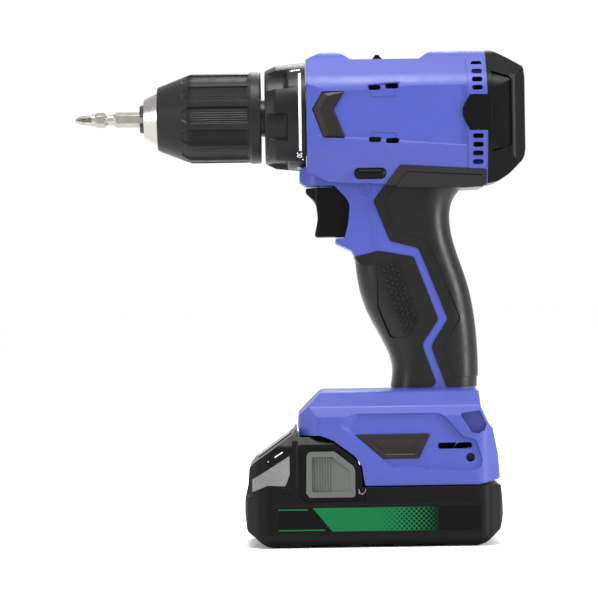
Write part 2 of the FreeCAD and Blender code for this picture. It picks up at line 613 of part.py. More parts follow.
    shell = shell.cut(cover_zone)
    pillars = []
    for y, z in cover_screw_places():
        pillar = cover_pillar(COVER_X - 9, COVER_X, y, z).common(outer)
        pillars.append(pillar.cut(rod_x(1.35, COVER_X - 8, COVER_X + 1, y, z)))
    shell = shell.multiFuse(pillars).cut(grips).cut(chevrons).cut(inserts)
    grips = grips.cut(inset).fuse(field)
    for x, z in SCREW_PLACES:
        grips = grips.cut(rod_y(SCREW_HEAD_R + 0.2, 11.0, BIG, x, z))
    grips = grips.cut(trigger_slot()).cut(prism_y(selector_outline(), -BIG, BIG, 0.2))
    return shell, cover, grips, chevrons, inserts


def trigger_slot():
    return box((-40, 0.5), (-TRIGGER_HALF - GAP, TRIGGER_HALF + GAP), (145.7, 170.7))


def cover_screw_places():
    """Places of the rear cover's screws, as (y, z)."""
    return [(-18.0, 184.0), (18.0, 184.0), (-18.0, 223.0), (18.0, 223.0)]


def cover_pillar(low, high, y, z):
    """A screw pillar with a rib that ties it to the wall outside it."""
    reach = math.hypot(y, z - SPINDLE_Z)
    rib = box((low, high), (-1.2, 1.2), (SPINDLE_Z + reach, SPINDLE_Z + reach + 12))
    rib = about_spindle(rib, math.degrees(math.atan2(-y, z - SPINDLE_Z)))
    return rod_x(2.6, low, high, y, z).fuse(rib)


def selector_outline():
    half = SELECTOR_LENGTH / 2.0
    tall = SELECTOR_HEIGHT / 2.0
    x, z = -0.5, 175.7
    return [
        (x - half, z - tall, tall - 0.05), (x + half, z - tall, tall - 0.05),
        (x + half, z + tall, tall - 0.05), (x - half, z + tall, tall - 0.05),
    ]


def housing_screws():
    screws = []
    for x, z in SCREW_PLACES:
        shank = rod_y(SCREW_R, -11.0, 11.5, x, z)
        head = rod_y(SCREW_HEAD_R, 11.0, 13.0, x, z)
        socket = rod_y(1.1, 12.0, 14.0, x, z)
        screws.append(shank.fuse(head).cut(socket).removeSplitter())
    return group(screws)


def cover_screws():
    screws = []
    for y, z in cover_screw_places():
        shank = rod_x(1.3, COVER_X - 7.5, 62.5, y, z)
        head = rod_x(2.5, 62.0, 64.0, y, z)
        socket = rod_x(1.1, 63.0, 65.0, y, z)
        screws.append(shank.fuse(head).cut(socket).removeSplitter())
    return group(screws)


# ---------------------------------------------------------------------------------------------
# Chuck, bit and spindle
# ---------------------------------------------------------------------------------------------
JAW_ANGLES = [0.0, 120.0, 240.0]


def jaw_axis_radius(x):
    """Distance of a jaw's axis from the spindle axis, at rest on the bit."""
    return JAW_R + (x - JAW_TIP) * math.tan(JAW_TILT)


def jaw_rod(radius, low, high):
    """An inclined rod on the +Y side, along a jaw's axis from x = low to x = high."""
    start = Vector(low, jaw_axis_radius(low), SPINDLE_Z)
    along = Vector(math.cos(JAW_TILT), math.sin(JAW_TILT), 0)
    return Part.makeCylinder(radius, (high - low) / math.cos(JAW_TILT), start, along)


def jaw():
    """One jaw: an inclined rod with a flat that meets the bit, on the +Y side."""
    rear = JAW_TIP + JAW_LENGTH * math.cos(JAW_TILT)
    rod = jaw_rod(JAW_R, JAW_TIP - 4, rear)
    flat = box((JAW_TIP - 10, rear + 5), (-20, HEX_AF / 2 + 0.03), (SPINDLE_Z - 20, SPINDLE_Z + 20))
    front = box((JAW_TIP - 10, JAW_TIP), (-20, 30), (SPINDLE_Z - 20, SPINDLE_Z + 20))
    body = rod.cut(flat).cut(front)
    # The jaws' flanks lean 60 degrees off the flat, so that three of them close up together
    for side in (-1, 1):
        flank = box((JAW_TIP - 12, rear + 6), (-60, 0.0), (SPINDLE_Z - 60, SPINDLE_Z + 60))
        flank.rotate(Vector(0, 0, SPINDLE_Z), Vector(1, 0, 0), side * 30)
        flank.translate(Vector(0, 0.12, 0))
        body = body.cut(flank)
    return body


def chuck_body():
    rear = CHUCK_REAR - 2.0
    profile = [
        (NOSE_TIP, 7.4), (NOSE_TIP, 9.4), (CHUCK_FRONT, 12.8), (CHUCK_FRONT + 8.0, 12.6),
        (-93.0, jaw_axis_radius(-93.0) + 3.1), (-83.0, jaw_axis_radius(-83.0) + 3.1),
        (-83.0, CHUCK_BODY_R), (rear, CHUCK_BODY_R), (rear, SHAFT_R + RUN), (-73.0, SHAFT_R + RUN),
        (-73.0, 7.4),
    ]
    body = turned(profile)
    for degrees in JAW_ANGLES:
        body = body.cut(about_spindle(jaw_rod(JAW_R + RUN, JAW_TIP - 12, -60.0), degrees))
    return body


def jaw_nut():
    """The ring that drives the jaws; its inside follows the cone that they slide along."""
    inner = JAW_R / math.cos(JAW_TILT) + 0.2
    low, high = -92.6, -84.2
    profile = [
        (low, jaw_axis_radius(low) + inner), (low, JAW_NUT_R), (high, JAW_NUT_R),
        (high, jaw_axis_radius(high) + inner),
    ]
    return turned(profile)


def chuck_sleeve():
    band = CHUCK_R + 0.4
    profile = [
        (CHUCK_FRONT, 13.1), (CHUCK_FRONT, 14.6), (CHUCK_FRONT + 0.8, 15.4),
        (-86.0, CHUCK_R - 0.3), (-84.5, CHUCK_R), (-57.0, CHUCK_R), (-56.6, band),
        (CHUCK_REAR - 0.6, band), (CHUCK_REAR, band - 0.6), (CHUCK_REAR, CHUCK_BODY_R + 0.4),
        (CHUCK_REAR - 4.0, CHUCK_BODY_R + 0.4), (CHUCK_REAR - 5.0, CHUCK_R - 2.3),
        (-82.0, CHUCK_R - 2.3), (-84.2, JAW_NUT_R), (-92.6, JAW_NUT_R), (-95.5, 13.1),
    ]
    sleeve = turned(profile)
    # Twelve recessed panels leave raised ribs between them
    panel = box((-86.5, -57.8), (-3.6, 3.6), (SPINDLE_Z + CHUCK_R - 0.7, SPINDLE_Z + 30))
    grooves = [about_spindle(panel, 30.0 * i) for i in range(12)]
    return sleeve.cut(Part.makeCompound(grooves))


def spindle():
    profile = [
        (-24.2, 0.0), (-24.2, SHAFT_R - 0.02), (-49.0, SHAFT_R), (-49.0, 9.0),
        (CHUCK_REAR - 1.9, 9.0), (CHUCK_REAR - 1.9, SHAFT_R), (-72.8, SHAFT_R), (-72.8, 0.0),
    ]
    bore = rod_x(2.6, -80, -60)
    return turned(profile).cut(bore)


def gear_distance(module, sun, planet):
    return module * (sun + planet) / 2.0


def carrier_2():
    """Disc at the rear of the spindle with its three planet pins."""
    radius = gear_distance(MODULE_2, SUN_2, PLANET_2)
    shapes = [rod_x(16.0, -24.2, -22.0)]
    for degrees in (0, 120, 240):
        pin = rod_x(1.6, -22.5, -13.2, 0, SPINDLE_Z + radius)
        shapes.append(about_spindle(pin, degrees))
    return joined(shapes)


def chuck_screw():
    shank = rod_x(2.4, -72.0, -62.0)
    head = rod_x(4.6, -74.6, -72.9)
    stem = rod_x(2.4, -73.5, -71.5)
    slot = box((-75.2, -73.8), (-0.6, 0.6), (SPINDLE_Z - 6, SPINDLE_Z + 6))
    return joined([shank, stem, head]).cut(slot)


def hexagon(af, low, high):
    """A hexagonal bar whose flats face the jaws."""
    corner = af / math.sqrt(3)
    points = []
    for i in range(6):
        angle = math.radians(30 + 60 * i)
        points.append(Vector(low, corner * math.cos(angle), SPINDLE_Z + corner * math.sin(angle)))
    face = Part.Face(Part.makePolygon(points + points[:1]))
    return face.extrude(Vector(high - low, 0, 0))


def screwdriver_bit():
    bar = hexagon(HEX_AF, -131.5, BIT_TAIL)
    envelope = turned([
        (-131.5, 0.0), (-131.5, 3.0), (-130.6, 3.6), (-127.2, 3.67), (-125.4, 2.55),
        (-122.8, 2.55), (-121.0, 3.67), (BIT_TAIL - 0.8, 3.67), (BIT_TAIL, 3.1), (BIT_TAIL, 0.0),
    ])
    bar = bar.common(envelope)
    tip = turned([
        (BIT_TIP, 0.0), (BIT_TIP, 0.7), (-138.6, 2.2), (-133.6, 2.9), (-131.4, 2.9),
        (-131.4, 0.0),
    ])
    for quarter in range(4):
        flute = box((-145, -133.2), (0.55, 5), (SPINDLE_Z + 0.55, SPINDLE_Z + 5))
        tip = tip.cut(about_spindle(flute, 45 + 90 * quarter))
    return joined([bar, tip])


# ---------------------------------------------------------------------------------------------
# Clutch
# ---------------------------------------------------------------------------------------------
NUT_FRONT = -46.5
NUT_REAR = -42.5
WASHER_FRONT = -29.4
PIN_RADIUS = 19.3        # pitch radius of the clutch pins
RING_2_FRONT = -21.5


def torque_ring():
    profile = [
        (TORQUE_FRONT, 12.0), (TORQUE_FRONT, TORQUE_R - 4.3), (TORQUE_FRONT + 0.6, TORQUE_R - 3.7),
        (TORQUE_FRONT + 5.0, TORQUE_R - 1.6), (HEAD_FRONT - 0.3, TORQUE_R), (HEAD_FRONT - 0.3, 20.0),
        (TORQUE_FRONT + 1.2, 20.0), (TORQUE_FRONT + 1.2, 12.0),
    ]
    ring = turned(profile)
    floor = SPINDLE_Z + TORQUE_R - 3.2
    for i in range(6):
        pocket = box((-47.8, -39.2), (-6.4, 6.4), (floor, floor + 7))
        pocket.rotate(Vector(-43.5, 0, floor), Vector(0, 1, 0), -7)
        ring = ring.cut(about_spindle(pocket, 60.0 * i + 44.0))
    for i in range(3):
        groove = box((-48.8, HEAD_FRONT), (-2.2, 2.2), (SPINDLE_Z + 19, SPINDLE_Z + 21.4))
        ring = ring.cut(about_spindle(groove, 120.0 * i))
    return ring


def clutch_nut():
    """Threaded on the gearbox nose, keyed to the torque ring by three lugs."""
    shapes = [tube_x(19.7, NOSE_R + 0.1, NUT_FRONT, NUT_REAR)]
    for i in range(3):
        lug = box((NUT_FRONT, NUT_REAR), (-1.9, 1.9), (SPINDLE_Z + 18.5, SPINDLE_Z + 21.1))
        shapes.append(about_spindle(lug, 120.0 * i))
    return joined(shapes)


def coil(radius, wire, low, high, turns, z):
    """A helical spring along X, lofted through many-sided sections of its wire."""
    steps = int(turns * 18)
    sides = 8
    rise = (high - low - 2 * wire) / steps
    sections = []
    for i in range(steps + 1):
        angle = 2 * math.pi * turns * i / steps
        corners = []
        for k in range(sides):
            across = 2 * math.pi * k / sides
            reach = radius + wire * math.cos(across)
            x = low + wire + rise * i + wire * math.sin(across)
            corners.append(Vector(x, reach * math.sin(angle), z + reach * math.cos(angle)))
        sections.append(Part.makePolygon(corners + corners[:1]))
    return Part.makeLoft(sections, True, True)


def clutch_spring():
    return coil(17.4, 1.1, NUT_REAR + 0.1, WASHER_FRONT - 0.1, 4.5, SPINDLE_Z)


def clutch_pins():
    """A thrust washer and six pins that press on the second stage's ring gear."""
    shapes = [tube_x(20.0, NOSE_R + 0.1, WASHER_FRONT, WASHER_FRONT + 1.2)]
    for i in range(6):
        pin = rod_x(1.5, WASHER_FRONT + 1.3, RING_2_FRONT - 0.05, 0, SPINDLE_Z + PIN_RADIUS)
        shapes.append(about_spindle(pin, 60.0 * i + 30))
    return group(shapes)


def gearbox_case():
    inner = CASE_R - CASE_WALL
    profile = [
        (-48.5, BEARING_R), (-48.5, NOSE_R), (-27.5, NOSE_R), (-27.5, CASE_R),
        (CASE_REAR, CASE_R), (CASE_REAR, inner), (-24.6, inner), (-24.6, BEARING_R),
    ]
    case = turned(profile)
    for i in range(6):
        hole = rod_x(1.6, -30, -20, 0, SPINDLE_Z + PIN_RADIUS)
        case = case.cut(about_spindle(hole, 60.0 * i + 30))
    slot = box((KNOB_X - KNOB_TRAVEL - 1.5, CASE_REAR + 1), (-2.4, 2.4), (SPINDLE_Z + 15, 240))
    return case.cut(slot)


def spindle_bearings():
    rings = []
    for low in (-47.5, -32.0):
        rings.append(tube_x(BEARING_R, 9.6, low, low + 6.5))
        rings.append(tube_x(9.5, SHAFT_R + RUN, low, low + 6.5))
    return group(rings)


# ---------------------------------------------------------------------------------------------
# Gears
# ---------------------------------------------------------------------------------------------
def involute(angle):
    return math.tan(angle) - angle


def flank(module, teeth, radii, backlash):
    """Half the angle of a tooth at each radius."""
    pitch = module * teeth / 2.0
    base = pitch * math.cos(PRESSURE)
    half = math.pi / (2 * teeth) - backlash / (2 * pitch) + involute(PRESSURE)
    angles = []
    for radius in radii:
        if radius <= base:
            angles.append(half)
        else:
            angles.append(half - involute(math.acos(base / radius)))
    return angles


def gear_points(module, teeth, add, ded, turn, backlash):
    """The outline of a gear as (y, z) points; tooth 0 points along +Z when turn is 0."""
    pitch = module * teeth / 2.0
    steps = 4
    radii = []
    for i in range(steps + 1):
        radii.append(pitch - ded * module + i * (add + ded) * module / steps)
    halves = flank(module, teeth, radii, backlash)
    points = []
    for tooth in range(teeth):
        middle = turn + 2 * math.pi * tooth / teeth
        for radius, half in zip(radii, halves):
            points.append((radius, middle - half))
        for radius, half in zip(radii[::-1], halves[::-1]):
            points.append((radius, middle + half))
    return points


def polar_face(points, x):
    """A face from (radius, angle) points; angles run from +Z towards -Y, about +X."""
    corners = []
    for radius, angle in points:
        y = -radius * math.sin(angle)
        z = SPINDLE_Z + radius * math.cos(angle)
        corners.append(Vector(x, y, z))
    return Part.Face(Part.makePolygon(corners + corners[:1]))


def external_gear(module, teeth, low, high, turn=0.0):
    points = gear_points(module, teeth, 0.8, 1.0, turn, BACKLASH)
    return polar_face(points, low).extrude(Vector(high - low, 0, 0))


def internal_gear(module, teeth, outer, low, high, turn=0.0):
    """A ring whose tooth spaces have the shape of an external gear's teeth."""
    points = gear_points(module, teeth, 1.0, 0.8, turn, -BACKLASH)
    inside = polar_face(points, low - 1).extrude(Vector(high - low + 2, 0, 0))
    return rod_x(outer, low, high).cut(inside)


def planet_gear(module, sun, planet, theta, low, high, bore):
    """A planet in mesh at rest, at the angle theta round the sun."""
    turn = theta + math.pi - math.pi / planet + sun * theta / planet
    gear = external_gear(module, planet, low, high, turn)
    gear = gear.cut(rod_x(bore, low - 1, high + 1))
    radius = gear_distance(module, sun, planet)
    gear.translate(Vector(0, -radius * math.sin(theta), radius * math.cos(theta)))
    return gear


def ring_turn(sun, planet, ring, theta):
    """How far a ring's tooth spaces are turned so that the planet at theta is in mesh."""
    return ((ring + sun) * theta + (planet - 1) * math.pi) / ring


def carrier_1():
    """Disc with the first stage's pins and the second stage's sun gear in front."""
    radius = gear_distance(MODULE_1, SUN_1, PLANET_1)
    shapes = [rod_x(15.6, -12.0, -9.8)]
    shapes.append(external_gear(MODULE_2, SUN_2, -21.6, -11.5))
    for degrees in (0, 120, 240):
        pin = rod_x(1.6, -10.0, 3.8, 0, SPINDLE_Z + radius)
        shapes.append(about_spindle(pin, degrees))
    return joined(shapes)


RING_1_FRONT = -0.4
RING_1_REAR = 7.4


def ring_gear_1():
    ring = PLANET_1 * 2 + SUN_1
    turn = ring_turn(SUN_1, PLANET_1, ring, 0.0)
    outer = CASE_R - CASE_WALL - 0.2
    gear = internal_gear(MODULE_1, ring, outer, RING_1_FRONT, RING_1_REAR, turn)
    return gear.cut(tube_x(outer + 5, outer - 1.2, KNOB_X - 1.3, KNOB_X + 1.3))


def ring_gear_2():
    ring = PLANET_2 * 2 + SUN_2
    turn = ring_turn(SUN_2, PLANET_2, ring, 0.0)
    return internal_gear(MODULE_2, ring, CASE_R - CASE_WALL, RING_2_FRONT, -12.4, turn)


def speed_knob():
    outline = [
        (KNOB_X - 2.4, -5.0, 1.0), (KNOB_X + 2.4, -5.0, 1.0), (KNOB_X + 2.4, 5.0, 1.0),
        (KNOB_X - 2.4, 5.0, 1.0),
    ]
    base = prism_z(outline, HEAD_FLAT + 0.15, HEAD_FLAT + 1.2)
    grip_outline = [
        (KNOB_X - 2.3, HEAD_FLAT + 0.9, 0.3), (KNOB_X + 2.3, HEAD_FLAT + 0.9, 0.3),
        (KNOB_X + 0.8, HEAD_FLAT + 3.0, 0.6), (KNOB_X - 0.8, HEAD_FLAT + 3.0, 0.6),
    ]
    return joined([base, prism_y(grip_outline, -4.4, 4.4)])


def shift_fork():
    outer = CASE_R - CASE_WALL - 0.2
    post = box((KNOB_X - 1.1, KNOB_X + 1.1), (-1.9, 1.9), (SPINDLE_Z + 17, HEAD_FLAT + 0.15))
    arc = tube_x(outer - 0.2, outer - 1.1, KNOB_X - 1.1, KNOB_X + 1.1)
    arc = arc.common(box((-20, 30), (-14, 14), (SPINDLE_Z, SPINDLE_Z + 40)))
    return joined([post.cut(rod_x(outer - 1.1, -20, 20)), arc])


# ---------------------------------------------------------------------------------------------
# Motor
# ---------------------------------------------------------------------------------------------
def motor_plate():
    profile = [
        (CASE_REAR, 9.0), (CASE_REAR, CASE_R), (CASE_REAR + 2.0, CASE_R),
        (CASE_REAR + 2.0, 11.0), (13.0, 11.0), (13.0, 9.0),
    ]
    return turned(profile)


def motor_bearings():
    rings = []
    for low in (CASE_REAR, 60.4):
        rings.append(tube_x(9.0, 7.6, low, low + 5))
        rings.append(tube_x(7.5, MOTOR_SHAFT_R + RUN, low, low + 5))
    return group(rings)


def stator_core():
    shapes = [tube_x(STATOR_R, STATOR_R - 3.4, STACK_FRONT, STACK_REAR)]
    for i in range(6):
        tooth = box((STACK_FRONT, STACK_REAR), (-2.2, 2.2), (SPINDLE_Z + 15, SPINDLE_Z + 21))
        shapes.append(about_spindle(tooth, 60.0 * i))
    shoe = tube_x(15.2, ROTOR_R + 0.6, STACK_FRONT, STACK_REAR)
    for i in range(6):
        gap = box((0, 60), (-1.2, 1.2), (SPINDLE_Z + 10, SPINDLE_Z + 16))
        shoe = shoe.cut(about_spindle(gap, 60.0 * i + 30))
    shapes.extend(shoe.Solids)
    return joined(shapes)


def stator_coils():
    coils = []
    for i in range(6):
        x = (STACK_FRONT - 3.0, STACK_REAR + 3.0)
        full = box(x, (-5.2, 5.2), (SPINDLE_Z + 15.4, SPINDLE_Z + 18.8))
        hole = box((STACK_FRONT - 0.1, STACK_REAR + 0.1), (-2.3, 2.3), (SPINDLE_Z, SPINDLE_Z + 30))
        coils.append(about_spindle(full.cut(hole), 60.0 * i))
    return group(coils)


def rotor():
    """Motor shaft, magnet core and the pinion that is the first stage's sun."""
    pinion = external_gear(MODULE_1, SUN_1, -9.4, 5.0)
    shaft = rod_x(MOTOR_SHAFT_R, 4.0, 67.0)
    core = rod_x(ROTOR_R, STACK_FRONT + 0.5, STACK_REAR - 0.5)
    return joined([pinion, shaft, core])


def cooling_fan():
    low, high = 50.4, 57.0
    shapes = [tube_x(8.0, MOTOR_SHAFT_R, low, high), tube_x(21.8, 7.0, low, low + 1.2)]
    for i in range(11):
        blade = box((low + 1.0, high - 0.5), (-0.5, 0.5), (SPINDLE_Z + 7.5, SPINDLE_Z + 21.5))
        shapes.append(about_spindle(blade, 360.0 / 11 * i))
    return joined(shapes)


# ---------------------------------------------------------------------------------------------
# Trigger, switch and electrics
# ---------------------------------------------------------------------------------------------
PLUNGER_Z = 158.0
SWITCH_FRONT = 3.5
SWITCH_REAR = 29.0


def trigger():
    half = TRIGGER_HALF
    body = prism_y(TRIGGER_SIDE, -half, half)
    plan = [
        (-32.0, -4.5, 3.0), (-26.0, -half, 5.0), (0.0, -half, 1.0), (0.0, half, 1.0),
        (-26.0, half, 5.0), (-32.0, 4.5, 3.0),
    ]
    body = body.common(prism_z(plan, 140, 180))
    inside = box((-14.0, 0.0), (-half + 2.0, half - 2.0), (149.0, 166.0))
    notch = box((-11.3, 0.0), (-5.4, 5.4), (165.9, 172.0))
    body = body.cut(inside).cut(notch)
    plunger = rod_x(2.4, -16.0, SWITCH_FRONT + 3.0, 0, PLUNGER_Z)
    return joined([body, plunger])


def trigger_spring():
    return coil(3.6, 0.5, -13.9, SWITCH_FRONT - 0.1, 6.5, PLUNGER_Z)


def switch_body():
    body = box((SWITCH_FRONT, SWITCH_REAR), (-10.5, 10.5), (147.5, 169.0))
    body = body.cut(rod_x(2.8, SWITCH_FRONT - 1, SWITCH_FRONT + 13, 0, PLUNGER_Z))
    lever = box((-3.0, 2.6), (-1.6, 1.6), (168.0, 171.6))
    block = box((-3.0, 8.0), (-5.0, 5.0), (166.9, 169.0))
    body = body.fuse(block).fuse(lever)
    return joined([body])


def direction_selector():
    """A bar through the housing, pushed to either side."""
    bar = prism_y(selector_outline(), -SELECTOR_HALF, SELECTOR_HALF)
    notch = box((-3.6, 3.2), (-4.8, 4.8), (170.0, 174.2))
    return bar.cut(notch)


def led_lamp():
    lens = rod_x(2.9, -34.2, -30.5, z=174.9)
    board = box((-30.5, -29.4), (-3.4, 3.4), (173.2, 177.0))
    return joined([lens, board])


def control_board():
    board = box((-22.0, 24.0), (-24.0, 24.0), (55.0, 56.6))
    shapes = [board]
    for x in (-14.0, -4.0, 6.0):
        for y in (-12.0, 4.0):
            shapes.append(box((x, x + 6.5), (y, y + 8.0), (56.4, 59.0)))
    shapes.append(Part.makeCylinder(4.5, 8.0, Vector(17.5, -14, 56.4)))
    return joined(shapes)


def terminal_block():
    return box((11.0, 36.0), (-17.0, 17.0), (FLOOR_TOP, 48.0))


def tool_terminals():
    blades = []
    for y in BLADE_Y:
        half = BLADE_THICK / 2
        blades.append(box(BLADE_X, (y - half, y + half), (30.6, FLOOR_TOP)))
    return group(blades)


def wire_run(points, radius):
    """A wire of straight runs joined by tangent arcs, in the plane of its points' y."""
    places = [Vector(*point) for point in points]
    edges = []
    start = places[0]
    for before, here, after in zip(places, places[1:], places[2:]):
        inward = (here - before).normalize()
        outward = (after - here).normalize()
        half_turn = inward.getAngle(outward) / 2
        reach = 0.4 * min((here - before).Length, (after - here).Length)
        arc_start = here - inward * reach
        arc_end = here + outward * reach
        bend = reach / math.tan(half_turn)
        middle_dir = (outward - inward).normalize()
        middle = here + middle_dir * (bend / math.cos(half_turn) - bend)
        edges.append(Part.makeLine(start, arc_start))
        edges.append(Part.Arc(arc_start, middle, arc_end).toShape())
        start = arc_end
    edges.append(Part.makeLine(start, places[-1]))
    along = (places[1] - places[0]).normalize()
    circle = Part.Wire(Part.makeCircle(radius, places[0], along))
    return Part.Wire(edges).makePipeShell([circle], True, True)


def wiring():
    """Three leads from the switch to the board, and two from the board to the terminals."""
    leads = []
    for y in (-4.0, 0.0, 4.0):
        route = [(LOOM_X, y, 147.4), (LOOM_X, y, 128.0), (LOOM_X + 7, y, 102.0)]
        route.extend([(LOOM_X + 9, y, 82.0), (LOOM_X - 2, y, 66.0), (LOOM_X - 9, y, 59.1)])
        leads.append(wire_run(route, 1.1))
    for y in (-20.0, 20.0):
        route = [(18.0, y, 54.9), (18.0, y, 50.5), (18.0, y * 0.8, 48.1)]
        leads.append(wire_run(route, 0.9))
    return group(leads)


# ---------------------------------------------------------------------------------------------
# Battery
# ---------------------------------------------------------------------------------------------
def pack_form(outline, grow):
    side = prism_y(outline, -BIG, BIG, grow)
    plan = prism_z(PACK_PLAN, -10, 90, grow)
    return side.common(plan).common(prism_x(PACK_SECTION, -100, 100, grow))


def pack_pieces():
    """Lower and upper case, with the latch windows, rails and terminal slots."""
    outer = pack_form(PACK_SIDE, 0.0)
    plain = [point for point in PACK_SIDE if point not in PACK_LIP]
    inner = pack_form(plain, -PACK_WALL)
    rails = box((-7.5, RAIL_REAR), (-STEM_HALF, STEM_HALF), (PACK_DECK - 1, RAIL_TOP))
    flange = box((-7.5, RAIL_REAR), (-RAIL_HALF, RAIL_HALF), (32.0, RAIL_TOP))
    shell = outer.cut(inner)
    shell = joined([shell, rails, flange])

    # The underside is recessed along both sides, with two cross pads left standing
    for low, high in ((-30.0, -18.0), (-7.0, 7.0), (18.0, 31.0)):
        outline = [
            (low - 2.5, -1.0, 0.2), (high + 2.5, -1.0, 0.2), (high + 0.5, 1.3, 0.3),
            (low - 0.5, 1.3, 0.3),
        ]
        shell = shell.cut(prism_y(outline, -BIG, -24.0)).cut(prism_y(outline, 24.0, BIG))

    # Slots for the tool's terminals, open towards the rear
    for y in BLADE_Y:
        shell = shell.cut(box((BLADE_X[0] - 2, 60), (y - 1.4, y + 1.4), (29.8, 50)))

    # A window for each latch, and room behind it for the latch's flange
    shell = shell.cut(both_sides(LATCH_SIDE, PACK_HALF - 10, BIG, 0.35))
    room = both_sides(LATCH_SIDE, PACK_HALF - 9, PACK_HALF - PACK_WALL, LATCH_FLANGE + GAP)
    shell = shell.cut(room)
    # A sunk field round each latch, with a rounded rib in front of it
    shell = shell.cut(both_sides(LATCH_FIELD, PACK_HALF - 1.4, BIG))
    rib = Part.makeCylinder(1.35, 22.0, Vector(-37.9, -PACK_HALF + 1.05, 28.5))
    shell = shell.fuse([rib, mirrored(rib)])
    shell = shell.cut(gauge_form(0.15))
    lower = shell.common(box((-100, 100), (-BIG, BIG), (-10, PACK_SPLIT)))
    upper = shell.common(box((-100, 100), (-BIG, BIG), (PACK_SPLIT, 100)))
    label = both_sides(label_outline(), PACK_HALF - 0.5, BIG)
    return joined([lower.cut(label)]), upper


def label_outline():
    return [(-46.0, 8.0, 0.3), (48.5, 8.0, 0.3), (48.5, 19.0, 0.3), (-46.0, 19.0, 0.3)]


def labels():
    return group([both_sides(label_outline(), PACK_HALF - 0.5, PACK_HALF + 0.05)])


def gauge_form(grow):
    """The charge gauge: a bar lying in the front slope."""
    bar = box((-9.5 - grow, 9.5 + grow), (-13.0 - grow, 13.0 + grow), (-1.2, 0.6))
    bar.rotate(Vector(0, 0, 0), Vector(0, 1, 0), -35.8)
    bar.translate(Vector(-47.6, 0, 47.3))
    return bar


def battery_gauge():
    return gauge_form(0.0)


def latch():
    """A side button with a dished, ribbed face and a flange that keeps it in the case."""
    outer = -PACK_HALF - 0.3
    body = prism_y(LATCH_SIDE, outer, -PACK_HALF + 4.0)
    flange = prism_y(LATCH_SIDE, -PACK_HALF + PACK_WALL + GAP, -PACK_HALF + 4.0, LATCH_FLANGE)
    # The dish is deepest at its front end and runs out at its rear end
    wedge = [(-31.0, outer + 1.8), (-31.0, outer - 1.0), (-12.0, outer - 1.0), (-12.0, outer + 0.2)]
    face = Part.Face(Part.makePolygon([Vector(x, y, 20) for x, y in wedge + wedge[:1]]))
    dish = face.extrude(Vector(0, 0, 30)).common(prism_y(LATCH_DISH, outer - 1, outer + 3))
    body = joined([body, flange]).cut(dish)
    ribs = []
    for i in range(7):
        x = -28.6 + 1.25 * i
        depth = 1.8 - 1.6 * (x + 31.0) / 19.0
        rib = box((x, x + 0.6), (outer + depth - 0.35, outer + depth + 0.3), (26.0, 43.0))
        ribs.append(rib.common(prism_y(LATCH_DISH, outer - 1, outer + 3)))
    return joined([body] + ribs)


def battery_cells():
    cells = []
    for i in range(5):
        x = (i - 2) * CELL_PITCH
        can = rod_y(CELL_R, -CELL_LENGTH / 2, CELL_LENGTH / 2, x, CELL_Z)
        tip = rod_y(2.8, CELL_LENGTH / 2, CELL_LENGTH / 2 + 0.9, x, CELL_Z)
        cells.append(can.fuse(tip))
    return group(cells)


def battery_board():
    return box((-30.0, 44.0), (-22.0, 22.0), (23.2, 24.8))


def battery_terminals():
    clips = []
    for y in BLADE_Y:
        for side in (-1, 1):
            middle = y + side * 1.0
            clips.append(box((16.0, 24.0), (middle - 0.3, middle + 0.3), (29.9, 34.8)))
    return group(clips)


# ---------------------------------------------------------------------------------------------
# Every node
# ---------------------------------------------------------------------------------------------
def main():
    os.makedirs("parts", exist_ok=True)
    shell, cover, grips, chevrons, inserts = housing_pieces()
    for side, half_of in (("left", left_part), ("right", right_part)):
        save(side + "_housing", half_of(shell))
        save(side + "_grip", half_of(grips))
    save("chevrons", chevrons)
    save("foot_inserts", inserts)
    save("rear_cover", cover)
    save("housing_screws", housing_screws())
    save("rear_cover_screws", cover_screws())

    save("chuck_body", chuck_body())
    save("chuck_sleeve", chuck_sleeve())
    save("jaw_nut", jaw_nut())
    for number, degrees in enumerate(JAW_ANGLES, 1):
        save("jaw_%d" % number, about_spindle(jaw(), degrees))
    save("screwdriver_bit", screwdriver_bit())
    save("spindle", spindle())
    save("carrier_2", carrier_2())
    save("chuck_screw", chuck_screw())

    save("torque_ring", torque_ring())
    save("clutch_nut", clutch_nut())
    save("clutch_spring", clutch_spring())
    save("clutch_pins", clutch_pins())
    save("gearbox_case", gearbox_case())
    save("spindle_bearings", spindle_bearings())

    for number, degrees in enumerate((0, 120, 240)):
        theta = math.radians(degrees)
        first = planet_gear(MODULE_1, SUN_1, PLANET_1, theta, -9.0, 3.6, 1.6 + RUN)
        second = planet_gear(MODULE_2, SUN_2, PLANET_2, theta, -21.4, -13.4, 1.6 + RUN)
        save("planet_1" + "abc"[number], first)
        save("planet_2" + "abc"[number], second)
    save("carrier_1", carrier_1())
    save("ring_gear_1", ring_gear_1())
    save("ring_gear_2", ring_gear_2())
    save("speed_knob", speed_knob())
    save("shift_fork", shift_fork())

    save("motor_plate", motor_plate())
    save("motor_bearings", motor_bearings())
    save("stator_core", stator_core())
    save("stator_coils", stator_coils())
    save("rotor", rotor())
    save("cooling_fan", cooling_fan())

    save("trigger", trigger())
    save("trigger_spring", trigger_spring())
    save("switch_body", switch_body())
    save("direction_selector", direction_selector())
    save("led_lamp", led_lamp())
    save("control_board", control_board())
    save("terminal_block", terminal_block())
    save("tool_terminals", tool_terminals())
    save("wiring", wiring())

    lower, upper = pack_pieces()
    save("battery_lower_case", lower)
    save("battery_upper_case", upper)
    save("battery_cells", battery_cells())
    save("battery_board", battery_board())
    save("battery_terminals", battery_terminals())
    save("battery_labels", labels())
    save("battery_gauge", battery_gauge())
    save("left_latch", latch())
    save("right_latch", mirrored(latch()))


main()
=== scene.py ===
"""Looks for a cordless drill driver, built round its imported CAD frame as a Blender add-on."""
import json
import math

